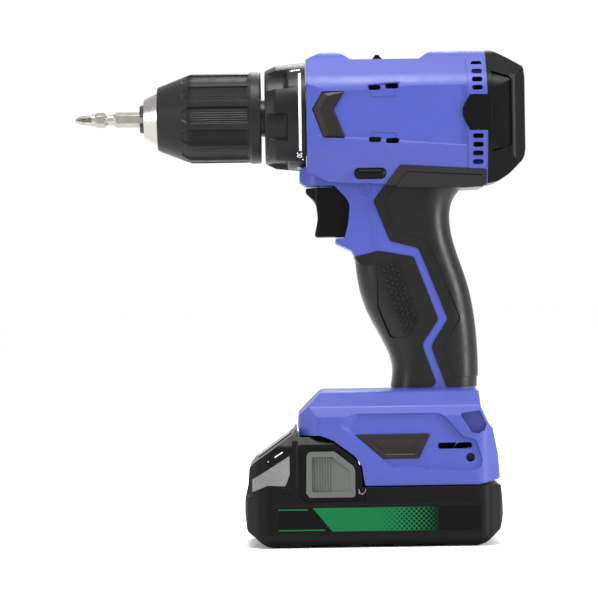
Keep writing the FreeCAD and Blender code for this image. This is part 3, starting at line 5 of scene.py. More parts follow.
import bmesh
import bpy
from bpy.props import FloatProperty, FloatVectorProperty, IntProperty, PointerProperty
from mathutils import Matrix, Vector
from mathutils.bvhtree import BVHTree


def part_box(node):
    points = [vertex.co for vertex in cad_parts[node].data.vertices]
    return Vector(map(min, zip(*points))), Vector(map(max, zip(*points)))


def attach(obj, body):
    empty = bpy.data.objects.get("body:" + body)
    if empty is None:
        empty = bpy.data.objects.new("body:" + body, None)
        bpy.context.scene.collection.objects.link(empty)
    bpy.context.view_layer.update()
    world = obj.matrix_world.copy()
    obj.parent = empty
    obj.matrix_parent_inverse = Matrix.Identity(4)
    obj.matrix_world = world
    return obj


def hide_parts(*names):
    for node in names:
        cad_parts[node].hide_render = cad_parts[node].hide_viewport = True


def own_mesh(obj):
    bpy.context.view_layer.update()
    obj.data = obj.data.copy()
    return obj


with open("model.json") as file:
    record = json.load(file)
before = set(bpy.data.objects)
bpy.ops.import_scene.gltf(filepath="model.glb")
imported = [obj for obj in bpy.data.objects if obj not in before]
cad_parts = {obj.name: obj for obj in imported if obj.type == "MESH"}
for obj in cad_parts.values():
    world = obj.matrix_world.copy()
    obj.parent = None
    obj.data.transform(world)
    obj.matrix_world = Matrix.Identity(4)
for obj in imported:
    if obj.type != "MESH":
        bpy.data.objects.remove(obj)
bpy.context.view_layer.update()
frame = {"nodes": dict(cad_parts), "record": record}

bl_info = {
    "name": "Cordless Drill Driver",
    "version": (1, 0, 0),
    "blender": (4, 5, 0),
    "location": "View3D > Sidebar > Drill",
    "description": "Moulded shells, rubber grips, chuck, battery and studio of a cordless drill",
    "category": "Object",
}

MM = 0.001
AXIS_Z = (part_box("spindle")[0].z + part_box("spindle")[1].z) / 2
LEFT, RIGHT = -1, 1

# Places on the chuck and the dial, in mm along the spindle or from its axis
GROOVE_RADIUS = 21.2        # the sleeve is grooved where it lies inside this radius
GROOVE_REACH = (-87.0, -58.4)
DIAL_LINE = (-33.9, -32.7)  # front and rear of the dial's printed line
NUMBER_SIZE = 3.6
NUMBER_X = -33.6
NUMBER_START = -47.0        # elevation of the first number, in degrees
NUMBER_PITCH = 27.0
POCKET_PITCH = 60.0         # degrees between the torque ring's finger pockets
POCKET_FLOOR = 22.4

# Print and moulding on the shells and the battery, in mm
MARK_CENTRE = (-2.6, 168.7)
MARK_RADIUS = 2.9
MARK_LINE = (0.36, 0.14)    # width and height of the mark's ridges
TREAD_ROWS, TREAD_COLUMNS = 13, 4
LABEL_MIDDLE = 13.5         # height of the label's middle line
FACET_BANDS, FACET_STEPS = 16, 4
WIRE_RADIUS = 0.32
WIRE_SIDE = 37.2


# ------------------------------------------------------------------------------------------
# Settings
# ------------------------------------------------------------------------------------------
def colour_setting(name, description, default):
    return FloatVectorProperty(
        name=name, description=description, default=default, subtype="COLOR", min=0, max=1
    )


class DrillFinishes(bpy.types.PropertyGroup):
    shell: colour_setting("Shell", "Moulded housing halves", (0.034, 0.047, 0.235))
    rubber: colour_setting("Rubber", "Overmoulded grips", (0.0025, 0.0025, 0.0028))
    case: colour_setting("Case", "Black moulded covers and battery case", (0.0025, 0.0025, 0.0028))
    trim: colour_setting("Trim", "Faceted trim on the head and foot", (0.0120, 0.0100, 0.0088))
    latch: colour_setting("Latch", "Battery buttons", (0.062, 0.067, 0.060))
    green: colour_setting("Green", "Label film", (0.004, 0.092, 0.028))
    sleeve: colour_setting("Sleeve", "Chuck sleeve", (0.0065, 0.0065, 0.0068))
    # Grey facets: grained, with their light grey tone painted to stand in for the light that falls
    # on them.
    grey: colour_setting("Grey", "Grained grey facets", (0.110, 0.111, 0.113))
    marking: colour_setting("Marking", "Printed marks", (0.86, 0.86, 0.86))


class DrillSizes(bpy.types.PropertyGroup):
    edge: FloatProperty(
        name="Edge", description="Rounding of moulded edges", default=0.3 * MM, unit="LENGTH"
    )
    sleeve_panels: IntProperty(
        name="Sleeve panels", description="Sunk panels round the chuck sleeve", default=12
    )
    panel_depth: FloatProperty(
        name="Panel depth", description="Depth of the sleeve's panels", default=0.75 * MM,
        unit="LENGTH",
    )
    tread: FloatProperty(
        name="Tread", description="Height of the grip's blocks", default=0.7 * MM, unit="LENGTH"
    )
    print_height: FloatProperty(
        name="Print height", description="Thickness of the printed marks", default=0.05 * MM,
        unit="LENGTH",
    )


class DrillStudio(bpy.types.PropertyGroup):
    lens: FloatProperty(name="Lens", description="Focal length in mm", default=180.0)
    view_width: FloatProperty(
        name="View width", description="Width seen at the middle plane", default=0.28704,
        unit="LENGTH",
    )
    centre_x: FloatProperty(name="Centre X", description="Middle of the view", default=-0.03504)
    centre_z: FloatProperty(name="Centre Z", description="Middle of the view", default=0.11688)
    roll: FloatProperty(
        name="Roll", description="Lean of the camera", default=math.radians(0.85),
        subtype="ANGLE",
    )
    key: FloatProperty(name="Key light", description="Power of the light above", default=12.0)
    side: FloatProperty(name="Side lights", description="Power of the side lights", default=4.2)
    right: FloatProperty(name="Right light", description="Power of the right light", default=12.6)
    sky: FloatProperty(name="Sky", description="Strength of the pale surround", default=1.03)


# ------------------------------------------------------------------------------------------
# Materials
# ------------------------------------------------------------------------------------------
FINISH = {}


class Shader:
    """A material under construction, with short names for the usual nodes."""

    def __init__(self, name):
        self.name = name
        self.material = bpy.data.materials.new(name)
        self.material.use_nodes = True
        self.tree = self.material.node_tree
        self.bsdf = self.tree.nodes["Principled BSDF"]
        self.place = self.tree.nodes.new("ShaderNodeTexCoord").outputs["Object"]

    def node(self, kind, settings=None, **sockets):
        made = self.tree.nodes.new(kind)
        for key, value in (settings or {}).items():
            setattr(made, key, value)
        for key, value in sockets.items():
            self.put(made.inputs[key.replace("_", " ")], value)
        return made

    def put(self, socket, value):
        if isinstance(value, bpy.types.NodeSocket):
            self.tree.links.new(value, socket)
        else:
            socket.default_value = value

    def math(self, operation, first, second=0.0, third=0.0):
        made = self.tree.nodes.new("ShaderNodeMath")
        made.operation = operation
        for socket, value in zip(made.inputs, (first, second, third)):
            self.put(socket, value)
        return made.outputs[0]

    def noise(self, scale, detail=2.0, rough=0.5, place=None):
        made = self.node(
            "ShaderNodeTexNoise", Vector=place or self.place, Scale=scale, Detail=detail,
            Roughness=rough,
        )
        return made.outputs["Fac"]

    def spread(self, value, low, high, start=0.0, end=1.0):
        made = self.node("ShaderNodeMapRange", Value=value)
        ends = {"From Min": start, "From Max": end, "To Min": low, "To Max": high}
        for key, number in ends.items():
            self.put(made.inputs[key], number)
        return made.outputs["Result"]

    def mix(self, factor, first, second):
        made = self.tree.nodes.new("ShaderNodeMix")
        made.data_type = "RGBA"
        self.put(made.inputs["Factor"], factor)
        for socket, value in zip((made.inputs[6], made.inputs[7]), (first, second)):
            self.put(socket, value if isinstance(value, bpy.types.NodeSocket) else rgba(value))
        return made.outputs[2]

    def bump(self, height, distance, strength=1.0, normal=None):
        made = self.node("ShaderNodeBump", Height=height, Distance=distance, Strength=strength)
        if normal is not None:
            self.put(made.inputs["Normal"], normal)
        return made.outputs["Normal"]

    def coordinates(self):
        made = self.node("ShaderNodeSeparateXYZ", Vector=self.place)
        return made.outputs["X"], made.outputs["Y"], made.outputs["Z"]

    def surface(self, **values):
        """Sets the last sockets and files the material in FINISH under its name."""
        for key, value in values.items():
            self.put(self.bsdf.inputs[key.replace("_", " ")], value)
        FINISH[self.name] = self.material
        return self.material


def rgba(colour):
    return (colour[0], colour[1], colour[2], 1.0)


def tinted(colour, share):
    return tuple(min(1.0, part * share) for part in colour)


def moulded(name, colour, roughness, grain=1700.0, depth=0.03 * MM, contrast=0.10, gloss=0.3):
    """Moulded plastic or rubber: spark-eroded grain, faint clouding and rubbed edges."""
    edge = bpy.context.scene.drill_sizes.edge
    s = Shader(name)
    cloud = s.spread(s.noise(38.0, 3.0), 0.0, 1.0, 0.3, 0.7)
    base = s.mix(cloud, tinted(colour, 1.0 - contrast), tinted(colour, 1.0 + contrast))
    fine = s.noise(grain, 2.0, 0.6)
    speck = s.spread(fine, 0.0, 0.35, 0.55, 0.8)
    base = s.mix(speck, base, tinted(colour, 1.9))
    rub = s.spread(s.noise(160.0, 4.0), roughness - 0.05, roughness + 0.07, 0.3, 0.7)
    rounded = s.node("ShaderNodeBevel", {"samples": 4}, Radius=edge).outputs["Normal"]
    normal = s.bump(fine, depth, 0.6, rounded)
    return s.surface(Base_Color=base, Roughness=rub, Normal=normal, Specular_IOR_Level=gloss)


def ribbed_polymer(name, colour, panel_radius, reach):
    """The chuck sleeve: grained polymer, with fine grooves along its sunk panels, and painted
    shade that darkens the sunk panels, most of all in the grooves' troughs.
    """
    s = Shader(name)
    x, y, z = s.coordinates()
    rise = s.math("SUBTRACT", z, AXIS_Z)
    angle = s.math("ARCTAN2", y, rise)
    wave = s.math("SINE", s.math("MULTIPLY", angle, 120.0))
    squares = s.math("ADD", s.math("MULTIPLY", y, y), s.math("MULTIPLY", rise, rise))
    radius = s.math("SQRT", squares)
    sunk = s.math("LESS_THAN", radius, panel_radius)
    middle = (reach[0] + reach[1]) / 2
    along = s.math("ABSOLUTE", s.math("SUBTRACT", x, middle))
    inside = s.math("MULTIPLY", sunk, s.math("LESS_THAN", along, (reach[1] - reach[0]) / 2))
    grooves = s.math("MULTIPLY", wave, inside)
    fine = s.noise(1500.0, 2.0, 0.6)
    # Painted shade: the sunk panels are darkened, most of all in the troughs of their grooves.
    painted_groove_shade = s.math("MULTIPLY", inside, s.spread(wave, 0.75, 0.15, -1.0, 1.0))
    cloud = s.spread(s.noise(60.0, 3.0), 0.0, 1.0, 0.3, 0.7)
    base = s.mix(cloud, tinted(colour, 0.9), tinted(colour, 1.3))
    base = s.mix(painted_groove_shade, base, tinted(colour, 0.35))
    rounded = s.node("ShaderNodeBevel", {"samples": 4}, Radius=0.3 * MM).outputs["Normal"]
    normal = s.bump(grooves, 0.16 * MM, 0.9, s.bump(fine, 0.03 * MM, 0.5, rounded))
    rub = s.spread(s.noise(160.0, 4.0), 0.36, 0.48, 0.3, 0.7)
    return s.surface(Base_Color=base, Roughness=rub, Normal=normal, Specular_IOR_Level=0.16)


def metal(name, colour, roughness, grain=900.0, depth=0.01 * MM, stretch=(1.0, 0.08, 0.08)):
    """Turned or ground metal: fine lines, stretched round the work, and soft stains."""
    s = Shader(name)
    place = s.node("ShaderNodeMapping", Vector=s.place, Scale=stretch).outputs["Vector"]
    lines = s.noise(grain, 3.0, 0.6, place)
    stain = s.noise(90.0, 3.0)
    base = s.mix(stain, tinted(colour, 0.82), tinted(colour, 1.08))
    rub = s.spread(lines, roughness - 0.07, roughness + 0.09, 0.3, 0.7)
    rounded = s.node("ShaderNodeBevel", {"samples": 4}, Radius=0.2 * MM).outputs["Normal"]
    normal = s.bump(lines, depth, 0.5, rounded)
    return s.surface(Base_Color=base, Roughness=rub, Normal=normal, Metallic=1.0)


def glossy(name, colour, roughness=0.25, coat=0.4):
    """Smooth film or lacquer over a lightly clouded colour."""
    s = Shader(name)
    cloud = s.noise(60.0, 2.0)
    base = s.mix(cloud, tinted(colour, 0.9), tinted(colour, 1.12))
    rub = s.spread(s.noise(300.0, 2.0), roughness - 0.04, roughness + 0.06, 0.3, 0.7)
    normal = s.bump(s.noise(900.0, 1.0), 0.004 * MM, 0.5)
    return s.surface(
        Base_Color=base, Roughness=rub, Normal=normal, Coat_Weight=coat, Specular_IOR_Level=0.3
    )


def copper_winding():
    s = Shader("copper_winding")
    wave = s.node(
        "ShaderNodeTexWave", {"bands_direction": "X", "wave_type": "BANDS"},
        Vector=s.place, Scale=420.0, Distortion=0.4,
    ).outputs["Fac"]
    base = s.mix(wave, (0.30, 0.10, 0.03), (0.72, 0.32, 0.12))
    return s.surface(Base_Color=base, Roughness=0.35, Metallic=0.8, Normal=s.bump(wave, 0.2 * MM))


def lamination_stack():
    s = Shader("lamination_stack")
    x = s.coordinates()[0]
    sheet = s.math("PINGPONG", x, 0.25 * MM)
    line = s.spread(sheet, 0.0, 1.0, 0.0, 0.12 * MM)
    base = s.mix(line, (0.05, 0.05, 0.05), (0.32, 0.32, 0.33))
    return s.surface(Base_Color=base, Roughness=0.45, Metallic=0.9, Normal=s.bump(line, 0.05 * MM))


def circuit_board():
    s = Shader("circuit_board")
    tracks = s.node(
        "ShaderNodeTexBrick", Vector=s.place, Scale=140.0, Color1=rgba((0.01, 0.12, 0.04)),
        Color2=rgba((0.012, 0.15, 0.05)), Mortar=rgba((0.03, 0.26, 0.09)),
    ).outputs["Color"]
    return s.surface(Base_Color=tracks, Roughness=0.3, Coat_Weight=0.3)


def lamp_lens():
    s = Shader("lamp_lens")
    frost = s.noise(700.0, 1.0)
    rub = s.spread(frost, 0.05, 0.14)
    return s.surface(
        Base_Color=(0.95, 0.97, 1.0, 1.0), Roughness=rub, Transmission_Weight=0.85, IOR=1.49
    )


def label_film(green):
    """Black and green label: an edged panel, a slanted field and a fading diamond hatch."""
    s = Shader("label_film")
    x, _, z = s.coordinates()
    height = s.math("SUBTRACT", z, LABEL_MIDDLE * MM)
    slant = s.math("ADD", x, s.math("MULTIPLY", height, 0.82))
    field = s.math("GREATER_THAN", slant, -25.5 * MM)
    panel = s.math("LESS_THAN", slant, -28.4 * MM)
    edge_line = s.math("GREATER_THAN", s.math("ABSOLUTE", height), 4.5 * MM)
    rim = s.math("LESS_THAN", s.math("ABSOLUTE", height), 5.1 * MM)
    lines = s.math("MULTIPLY", panel, s.math("MULTIPLY", edge_line, rim))
    pitch = 1.15 * MM
    rising = s.math("PINGPONG", s.math("ADD", x, height), pitch)
    falling = s.math("PINGPONG", s.math("SUBTRACT", x, height), pitch)
    cell = s.math("DIVIDE", s.math("MAXIMUM", rising, falling), pitch)
    fade = s.spread(x, 0.0, 1.05, -6.0 * MM, 31.0 * MM)
    hatch = s.math("GREATER_THAN", cell, fade)
    shown = s.math("MAXIMUM", lines, s.math("MULTIPLY", field, hatch))
    grain = s.noise(2500.0, 1.0)
    base = s.mix(shown, (0.002, 0.002, 0.002), green)
    return s.surface(
        Base_Color=base, Roughness=0.35, Normal=s.bump(grain, 0.01 * MM, 0.4),
        Specular_IOR_Level=0.06,
    )


# ------------------------------------------------------------------------------------------
# Mesh helpers
# ------------------------------------------------------------------------------------------
def linked(name, data):
    """An object in the scene, at the origin."""
    made = bpy.data.objects.new(name, data)
    bpy.context.scene.collection.objects.link(made)
    return made


def mesh_object(bm, name, material):
    mesh = bpy.data.meshes.new(name)
    bm.to_mesh(mesh)
    bm.free()
    mesh.materials.append(material)
    return linked(name, mesh)


def finish_piece(bm, name, body, slot, replaced=(), smooth=40.0):
    """Turns a bmesh into a piece that rides on a body and takes a slot's finish."""
    piece = mesh_object(bm, name, FINISH[slot])
    mesh = piece.data
    mesh.polygons.foreach_set("use_smooth", [True] * len(mesh.polygons))
    mesh.set_sharp_from_angle(angle=math.radians(smooth))
    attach(piece, body)
    if replaced:
        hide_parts(*replaced)
    return piece


def node_copy(name):
    """The mesh of a CAD node, with its corners joined."""
    bm = bmesh.new()
    bm.from_mesh(frame["nodes"][name].data)
    bmesh.ops.remove_doubles(bm, verts=bm.verts, dist=1e-6)
    return bm


def turned(profile, steps):
    """A closed (x, radius) profile in mm, spun about the spindle axis."""
    bm = bmesh.new()
    ring = [bm.verts.new((x * MM, 0, AXIS_Z + r * MM)) for x, r in profile]
    edges = [bm.edges.new(pair) for pair in zip(ring, ring[1:] + ring[:1])]
    bmesh.ops.spin(
        bm, geom=ring + edges, cent=(0, 0, AXIS_Z), axis=(1, 0, 0), angle=2 * math.pi,
        steps=steps, use_merge=True, use_duplicate=False,
    )
    bmesh.ops.remove_doubles(bm, verts=bm.verts, dist=1e-6)
    bmesh.ops.recalc_face_normals(bm, faces=bm.faces)
    return bm


def stations(start, end, count):
    """Evenly spaced (x, radius) points from start up to, but not including, end."""
    points = []
    for i in range(count):
        share = i / count
        x, radius = (low + (high - low) * share for low, high in zip(start, end))
        points.append((x, radius))
    return points


def relief(bm, sink):
    """Moves each vertex towards the spindle axis by sink(x, radius, elevation), all in mm."""
    for vert in bm.verts:
        y, z = vert.co.y, vert.co.z - AXIS_Z
        radius = math.hypot(y, z)
        depth = sink(vert.co.x / MM, radius / MM, math.degrees(math.atan2(z, -y)))
        scale = (radius - depth * MM) / radius
        vert.co.y = y * scale
        vert.co.z = AXIS_Z + z * scale


def circle_path(centre, radius, count):
    """Points evenly spaced round a circle."""
    points = []
    for i in range(count):
        angle = 2 * math.pi * i / count
        points.append((centre[0] + radius * math.cos(angle), centre[1] + radius * math.sin(angle)))
    return points


def height_on(points, x):
    """How high a line through the points, in order of x, stands at x."""
    for (ax, az), (bx, bz) in zip(points, points[1:]):
        if x <= bx + 1e-6:
            return az + (bz - az) * (x - ax) / (bx - ax)
    return points[-1][1]


def off_centre(angle, pitch, middle=0.0):
    """How far an angle lies from the nearest of the places pitch apart, one of them middle."""
    return abs((angle - middle + pitch / 2) % pitch - pitch / 2)


def ramp(value, start, end):
    """0 before start, 1 beyond end."""
    return min(1.0, max(0.0, (value - start) / (end - start)))


class Ground:
    """The outer surface of CAD nodes on one side of the drill, to lay details on."""

    def __init__(self, side, *names):
        verts, faces = [], []
        for name in names:
            node = frame["nodes"][name]
            start = len(verts)
            verts.extend(node.matrix_world @ vert.co for vert in node.data.vertices)
            faces.extend([start + i for i in face.vertices] for face in node.data.polygons)
        self.side = side
        self.tree = BVHTree.FromPolygons(verts, faces)

    def place(self, x, z, lift):
        """The point over (x, z) that stands lift above the surface, with all three in mm."""
        origin = Vector((x * MM, self.side * 100 * MM, z * MM))
        hit = self.tree.ray_cast(origin, Vector((0, -self.side, 0)))[0]
        if hit is None:
            hit = self.tree.find_nearest(Vector((x * MM, self.side * 40 * MM, z * MM)))[0]
        return (x * MM, hit.y + self.side * lift * MM, z * MM)


def laid_block(bm, ground, rings, caps=None):
    """A closed block: rings of (outline, lift) from its sunk foot up to its top."""
    loops = []
    for outline, lift in rings:
        loops.append([bm.verts.new(ground.place(x, z, lift)) for x, z in outline])
    bm.faces.new(loops[0])
    for low, high in zip(loops, loops[1:]):
        for i in range(len(low)):
            bm.faces.new((low[i - 1], low[i], high[i], high[i - 1]))
    for cap in caps or [range(len(loops[-1]))]:
        bm.faces.new([loops[-1][i] for i in cap])
    return loops


def ridge(bm, ground, path, width, height, closed=False, sink=0.25):
    """A rounded ridge laid on the surface along a path of (x, z) points."""
    section = [(-0.5, -sink), (-0.5, 0.0), (-0.3, 0.8 * height), (0.3, 0.8 * height), (0.5, 0.0)]
    section.append((0.5, -sink))
    rows = []
    count = len(path)
    for i, (x, z) in enumerate(path):
        before = path[i - 1] if closed or i else path[i]
        after = path[(i + 1) % count] if closed or i + 1 < count else path[i]
        length = math.hypot(after[0] - before[0], after[1] - before[1])
        u, v = -(after[1] - before[1]) / length, (after[0] - before[0]) / length
        row = []
        for across, lift in section:
            place = ground.place(x + u * across * width, z + v * across * width, lift)
            row.append(bm.verts.new(place))
        rows.append(row)
    pairs = list(zip(rows, rows[1:]))
    if closed:
        pairs.append((rows[-1], rows[0]))
    else:
        bm.faces.new(rows[0])
        bm.faces.new(rows[-1][::-1])
    for one, two in pairs:
        for i in range(len(section)):
            bm.faces.new((one[i - 1], one[i], two[i], two[i - 1]))


def arc_strip(bm, low_x, high_x, start, end, steps, radius_at, height):
    """A closed strip round the spindle axis, between two elevations in degrees."""
    rows = []
    for i in range(steps + 1):
        angle = math.radians(start + (end - start) * i / steps)
        row = []
        for x, lift in ((low_x, -0.1), (high_x, -0.1), (high_x, height), (low_x, height)):
            radius = (radius_at(x) + lift) * MM
            y, z = -radius * math.cos(angle), AXIS_Z + radius * math.sin(angle)
            row.append(bm.verts.new((x * MM, y, z)))
        rows.append(row)
    bm.faces.new(rows[0])
    bm.faces.new(rows[-1][::-1])
    for one, two in zip(rows, rows[1:]):
        for i in range(4):
            bm.faces.new((one[i - 1], one[i], two[i], two[i - 1]))


def text_on_arc(bm, text, size, x, elevation, radius_at, height):
    """A number wrapped on the dial, with its top towards the chuck."""
    curve = bpy.data.curves.new("number", "FONT")
    curve.body = text
    curve.size = size * MM
    curve.extrude = 0.1 * MM
    curve.align_x = "CENTER"
    curve.align_y = "CENTER"
    curve.resolution_u = 3
    holder = bpy.data.objects.new("number", curve)
    mesh = bpy.data.meshes.new_from_object(holder)
    first = len(bm.verts)
    bm.from_mesh(mesh)
    bm.verts.ensure_lookup_table()
    for vert in bm.verts[first:]:
        along, up, out = vert.co
        place = x - up / MM
        radius = (radius_at(place) + (height if out > 0 else -0.1)) * MM
        angle = math.radians(elevation) - along / radius
        vert.co = (place * MM, -radius * math.cos(angle), AXIS_Z + radius * math.sin(angle))
    bpy.data.objects.remove(holder)
    bpy.data.curves.remove(curve)
    bpy.data.meshes.remove(mesh)


def closed(bm):
    """Merged, with every face turned outwards."""
    bmesh.ops.remove_doubles(bm, verts=bm.verts, dist=1e-7)
    bmesh.ops.recalc_face_normals(bm, faces=bm.faces)
    return bm


def inset(outline, amount):
    """A convex or gently concave outline moved inwards."""
    turn = sum(a[0] * b[1] - b[0] * a[1] for a, b in zip(outline, outline[1:] + outline[:1]))
    amount = amount if turn > 0 else -amount
    moved = []
    for i, (u, v) in enumerate(outline):
        before, after = outline[i - 1], outline[(i + 1) % len(outline)]
        length_in = math.hypot(u - before[0], v - before[1])
        length_out = math.hypot(after[0] - u, after[1] - v)
        du, dv = (u - before[0]) / length_in, (v - before[1]) / length_in
        eu, ev = (after[0] - u) / length_out, (after[1] - v) / length_out
        share = amount / (1.0 + du * eu + dv * ev)
        moved.append((u - (dv + ev) * share, v + (du + eu) * share))
    return moved


# ------------------------------------------------------------------------------------------
# Operators
# ------------------------------------------------------------------------------------------
def make_finishes(finishes):
    """Every material of the drill, by its slot."""
    case, sleeve = tuple(finishes.case), tuple(finishes.sleeve)
    rubber, trim = tuple(finishes.rubber), tuple(finishes.trim)
    grey, latch = tuple(finishes.grey), tuple(finishes.latch)
    even = (1, 1, 1)
    moulded("blue_shell", tuple(finishes.shell), 0.40, 1500.0, 0.02 * MM, 0.04)
    moulded("black_rubber", rubber, 0.34, 800.0, 0.035 * MM, gloss=0.22)
    moulded("black_shell", case, 0.32, 900.0, 0.03 * MM, gloss=0.08)
    moulded("bronze_trim", trim, 0.32, 1500.0, 0.03 * MM, gloss=0.14)
    ribbed_polymer("chuck_polymer", sleeve, GROOVE_RADIUS * MM, [x * MM for x in GROOVE_REACH])
    moulded("dial_polymer", sleeve, 0.34, 1400.0, gloss=0.14)
    # The facet's grain is real; its light grey tone is painted light for the light the upward
    # facing facet catches.
    moulded("grey_grain", grey, 0.5, 900.0, 0.16 * MM, 0.2)
    glossy("white_print", tuple(finishes.marking), 0.45, 0.0)
    metal("nose_steel", (0.36, 0.345, 0.32), 0.26)
    metal("tool_steel", (0.33, 0.32, 0.295), 0.30, 500.0, 0.003 * MM)
    metal("gear_steel", (0.42, 0.41, 0.40), 0.38, 300.0, 0.01 * MM, even)
    metal("black_oxide", (0.055, 0.055, 0.06), 0.40)
    metal("die_cast", (0.50, 0.50, 0.51), 0.50, 500.0, 0.02 * MM, even)
    metal("spring_steel", (0.20, 0.19, 0.18), 0.32)
    moulded("nylon_fan", (0.02, 0.02, 0.022), 0.5)
    circuit_board()
    metal("contact_brass", (0.80, 0.58, 0.25), 0.28)
    lamp_lens()
    glossy("wire_insulation", (0.35, 0.01, 0.01))
    glossy("cell_wrap", (0.01, 0.20, 0.42))
    label_film(tuple(finishes.green))
    moulded("latch_grey", latch, 0.45, 1500.0, 0.02 * MM, 0.06)
    glossy("gauge_film", (0.02, 0.02, 0.022), 0.3)
    FINISH["laminations"] = lamination_stack()
    FINISH["copper_wire"] = copper_winding()


class DRILL_OT_finish_frame(bpy.types.Operator):
    """Give every CAD node the finish of its slot"""

    bl_idname = "drill.finish_frame"
    bl_label = "Finish Frame"

    def execute(self, context):
        make_finishes(context.scene.drill_finishes)
        for entry in frame["record"]["subparts"]:
            node = frame["nodes"][entry["node"]]
            for material_slot in node.material_slots:
                material_slot.material = FINISH[entry["material_slot"]]
        return {"FINISHED"}


class DRILL_OT_build_chuck_sleeve(bpy.types.Operator):
    """Turn the chuck sleeve and sink its grooved panels"""

    bl_idname = "drill.build_chuck_sleeve"
    bl_label = "Build Chuck Sleeve"

    def execute(self, context):
        sizes = context.scene.drill_sizes
        depth = sizes.panel_depth / MM
        pitch = 360.0 / sizes.sleeve_panels
        wide = 0.34 * pitch
        profile = [(-101.5, 13.1), (-101.5, 14.6), (-101.2, 15.1)]
        profile += stations((-100.7, 15.4), (-91.0, 19.2), 8)
        profile += stations((-91.0, 19.2), (-86.0, 21.2), 12)
        profile += [(-86.0, 21.2), (-85.2, 21.42), (-84.5, 21.5)]
        profile += stations((-83.5, 21.5), (-58.5, 21.5), 6)
        profile += [(-58.5, 21.5), (-57.8, 21.5), (-57.5, 21.5), (-57.0, 21.55), (-56.6, 21.9)]
        profile += [(-53.0, 21.9), (-52.3, 21.75), (-52.0, 21.3), (-52.0, 17.4), (-56.0, 17.4)]
        profile += [(-57.0, 19.2), (-82.0, 19.2), (-84.2, 16.4), (-92.6, 16.4), (-95.5, 13.1)]

        def sink(x, radius, elevation):
            aside = off_centre(elevation, pitch, 1.0)
            if radius < 19.3 and x > -91.0 or aside > wide + 0.2:
                return 0.0
            front = -89.8 + 0.55 * max(0.0, aside - 0.5 * wide)
            return depth * ramp(x, front, front + 0.7) * (1.0 - ramp(x, -57.9, -57.5))

        bm = turned(profile, 288)
        relief(bm, sink)
        finish_piece(
            closed(bm), "chuck_sleeve_grip", "sleeve_body", "chuck_polymer", ["chuck_sleeve"], 32.0
        )
        return {"FINISHED"}


def dial_radius(x):
    """The torque ring's radius behind its chamfer."""
    return 24.6 + (x + 45.0) / 14.4 * 1.6


class DRILL_OT_build_torque_ring(bpy.types.Operator):
    """Turn the torque ring and sink its six finger pockets"""

    bl_idname = "drill.build_torque_ring"
    bl_label = "Build Torque Ring"

    def execute(self, context):
        profile = [(-50.0, 12.0), (-50.0, 21.9), (-49.8, 22.3), (-49.4, 22.5)]
        profile += stations((-49.2, 22.65), (-45.3, 24.45), 5)
        profile += stations((-45.0, 24.6), (-38.6, dial_radius(-38.6)), 9)
        profile += [(-38.6, dial_radius(-38.6)), (-31.2, 26.1), (-30.7, 26.1), (-30.6, 25.9)]
        profile += [(-30.6, 20.0), (-48.8, 20.0), (-48.8, 12.0)]

        def sink(x, radius, elevation):
            if radius < 20.1:
                keyway = off_centre(elevation, 120.0, 90.0) < 6.3 and radius > 19.0
                return -1.4 if keyway else 0.0
            if radius < POCKET_FLOOR or off_centre(elevation, POCKET_PITCH, 46.0) > 14.6:
                return 0.0
            floor = POCKET_FLOOR + 0.03 * (x + 48.0)
            share = ramp(x, -48.9, -48.3) * (1.0 - ramp(x, -40.2, -39.1))
            return (radius - floor) * share

        bm = turned(profile, 240)
        relief(bm, sink)
        finish_piece(
            closed(bm), "torque_ring_grip", "torque_ring_body", "dial_polymer",
            ["torque_ring"], 32.0,
        )
        return {"FINISHED"}


class DRILL_OT_print_dial(bpy.types.Operator):
    """Print the torque ring's white line and numbers"""

    bl_idname = "drill.print_dial"
    bl_label = "Print Dial"

    def execute(self, context):
        height = context.scene.drill_sizes.print_height / MM
        bm = bmesh.new()
        arc_strip(bm, *DIAL_LINE, -41.0, 50.5, 60, dial_radius, height)
        for i, number in enumerate(("20", "16", "12", "8", "4", "1")):
            middle = NUMBER_START - NUMBER_PITCH * i
            text_on_arc(bm, number, NUMBER_SIZE, NUMBER_X, middle, dial_radius, height)
            dot = middle - 6.5
            arc_strip(bm, -32.6, -31.9, dot - 0.8, dot + 0.8, 2, dial_radius, height)
        # A twist drill, drawn as a shank, three slanted flutes and a point
        arc_strip(bm, -33.9, -33.1, 56.0, 58.5, 3, dial_radius, height)
        for i in range(3):
            x = -34.9 - 1.1 * i
            arc_strip(bm, x, x + 0.75, 56.0 - 0.4 * i, 58.8 - 0.4 * i, 3, dial_radius, height)
        arc_strip(bm, -37.9, -37.3, 56.2, 57.2, 2, dial_radius, height)
        finish_piece(closed(bm), "dial_print", "torque_ring_body", "white_print")
        return {"FINISHED"}


class DRILL_OT_build_selector(bpy.types.Operator):
    """Copy the direction selector's mesh as a black slider"""

    bl_idname = "drill.build_selector"
    bl_label = "Build Selector"

    def execute(self, context):
        slider = node_copy("direction_selector")
        finish_piece(
            slider, "selector_slider", "selector_body", "black_shell", ["direction_selector"]
        )
        return {"FINISHED"}


class DRILL_OT_build_springs(bpy.types.Operator):
    """Copy each deforming spring as a steel coil with its own mesh"""

    bl_idname = "drill.build_springs"
    bl_label = "Build Springs"

    def execute(self, context):
        for joint in frame["record"]["behaviour"]["joints"]:
            for spring in joint.get("deforming_nodes", []):
                name, seat = spring["node"], spring["fixed_end_x_m"]
                coil = finish_piece(
                    node_copy(name), name + "_coil", "tool_body", "spring_steel", [name]
                )
                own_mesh(coil)
        return {"FINISHED"}


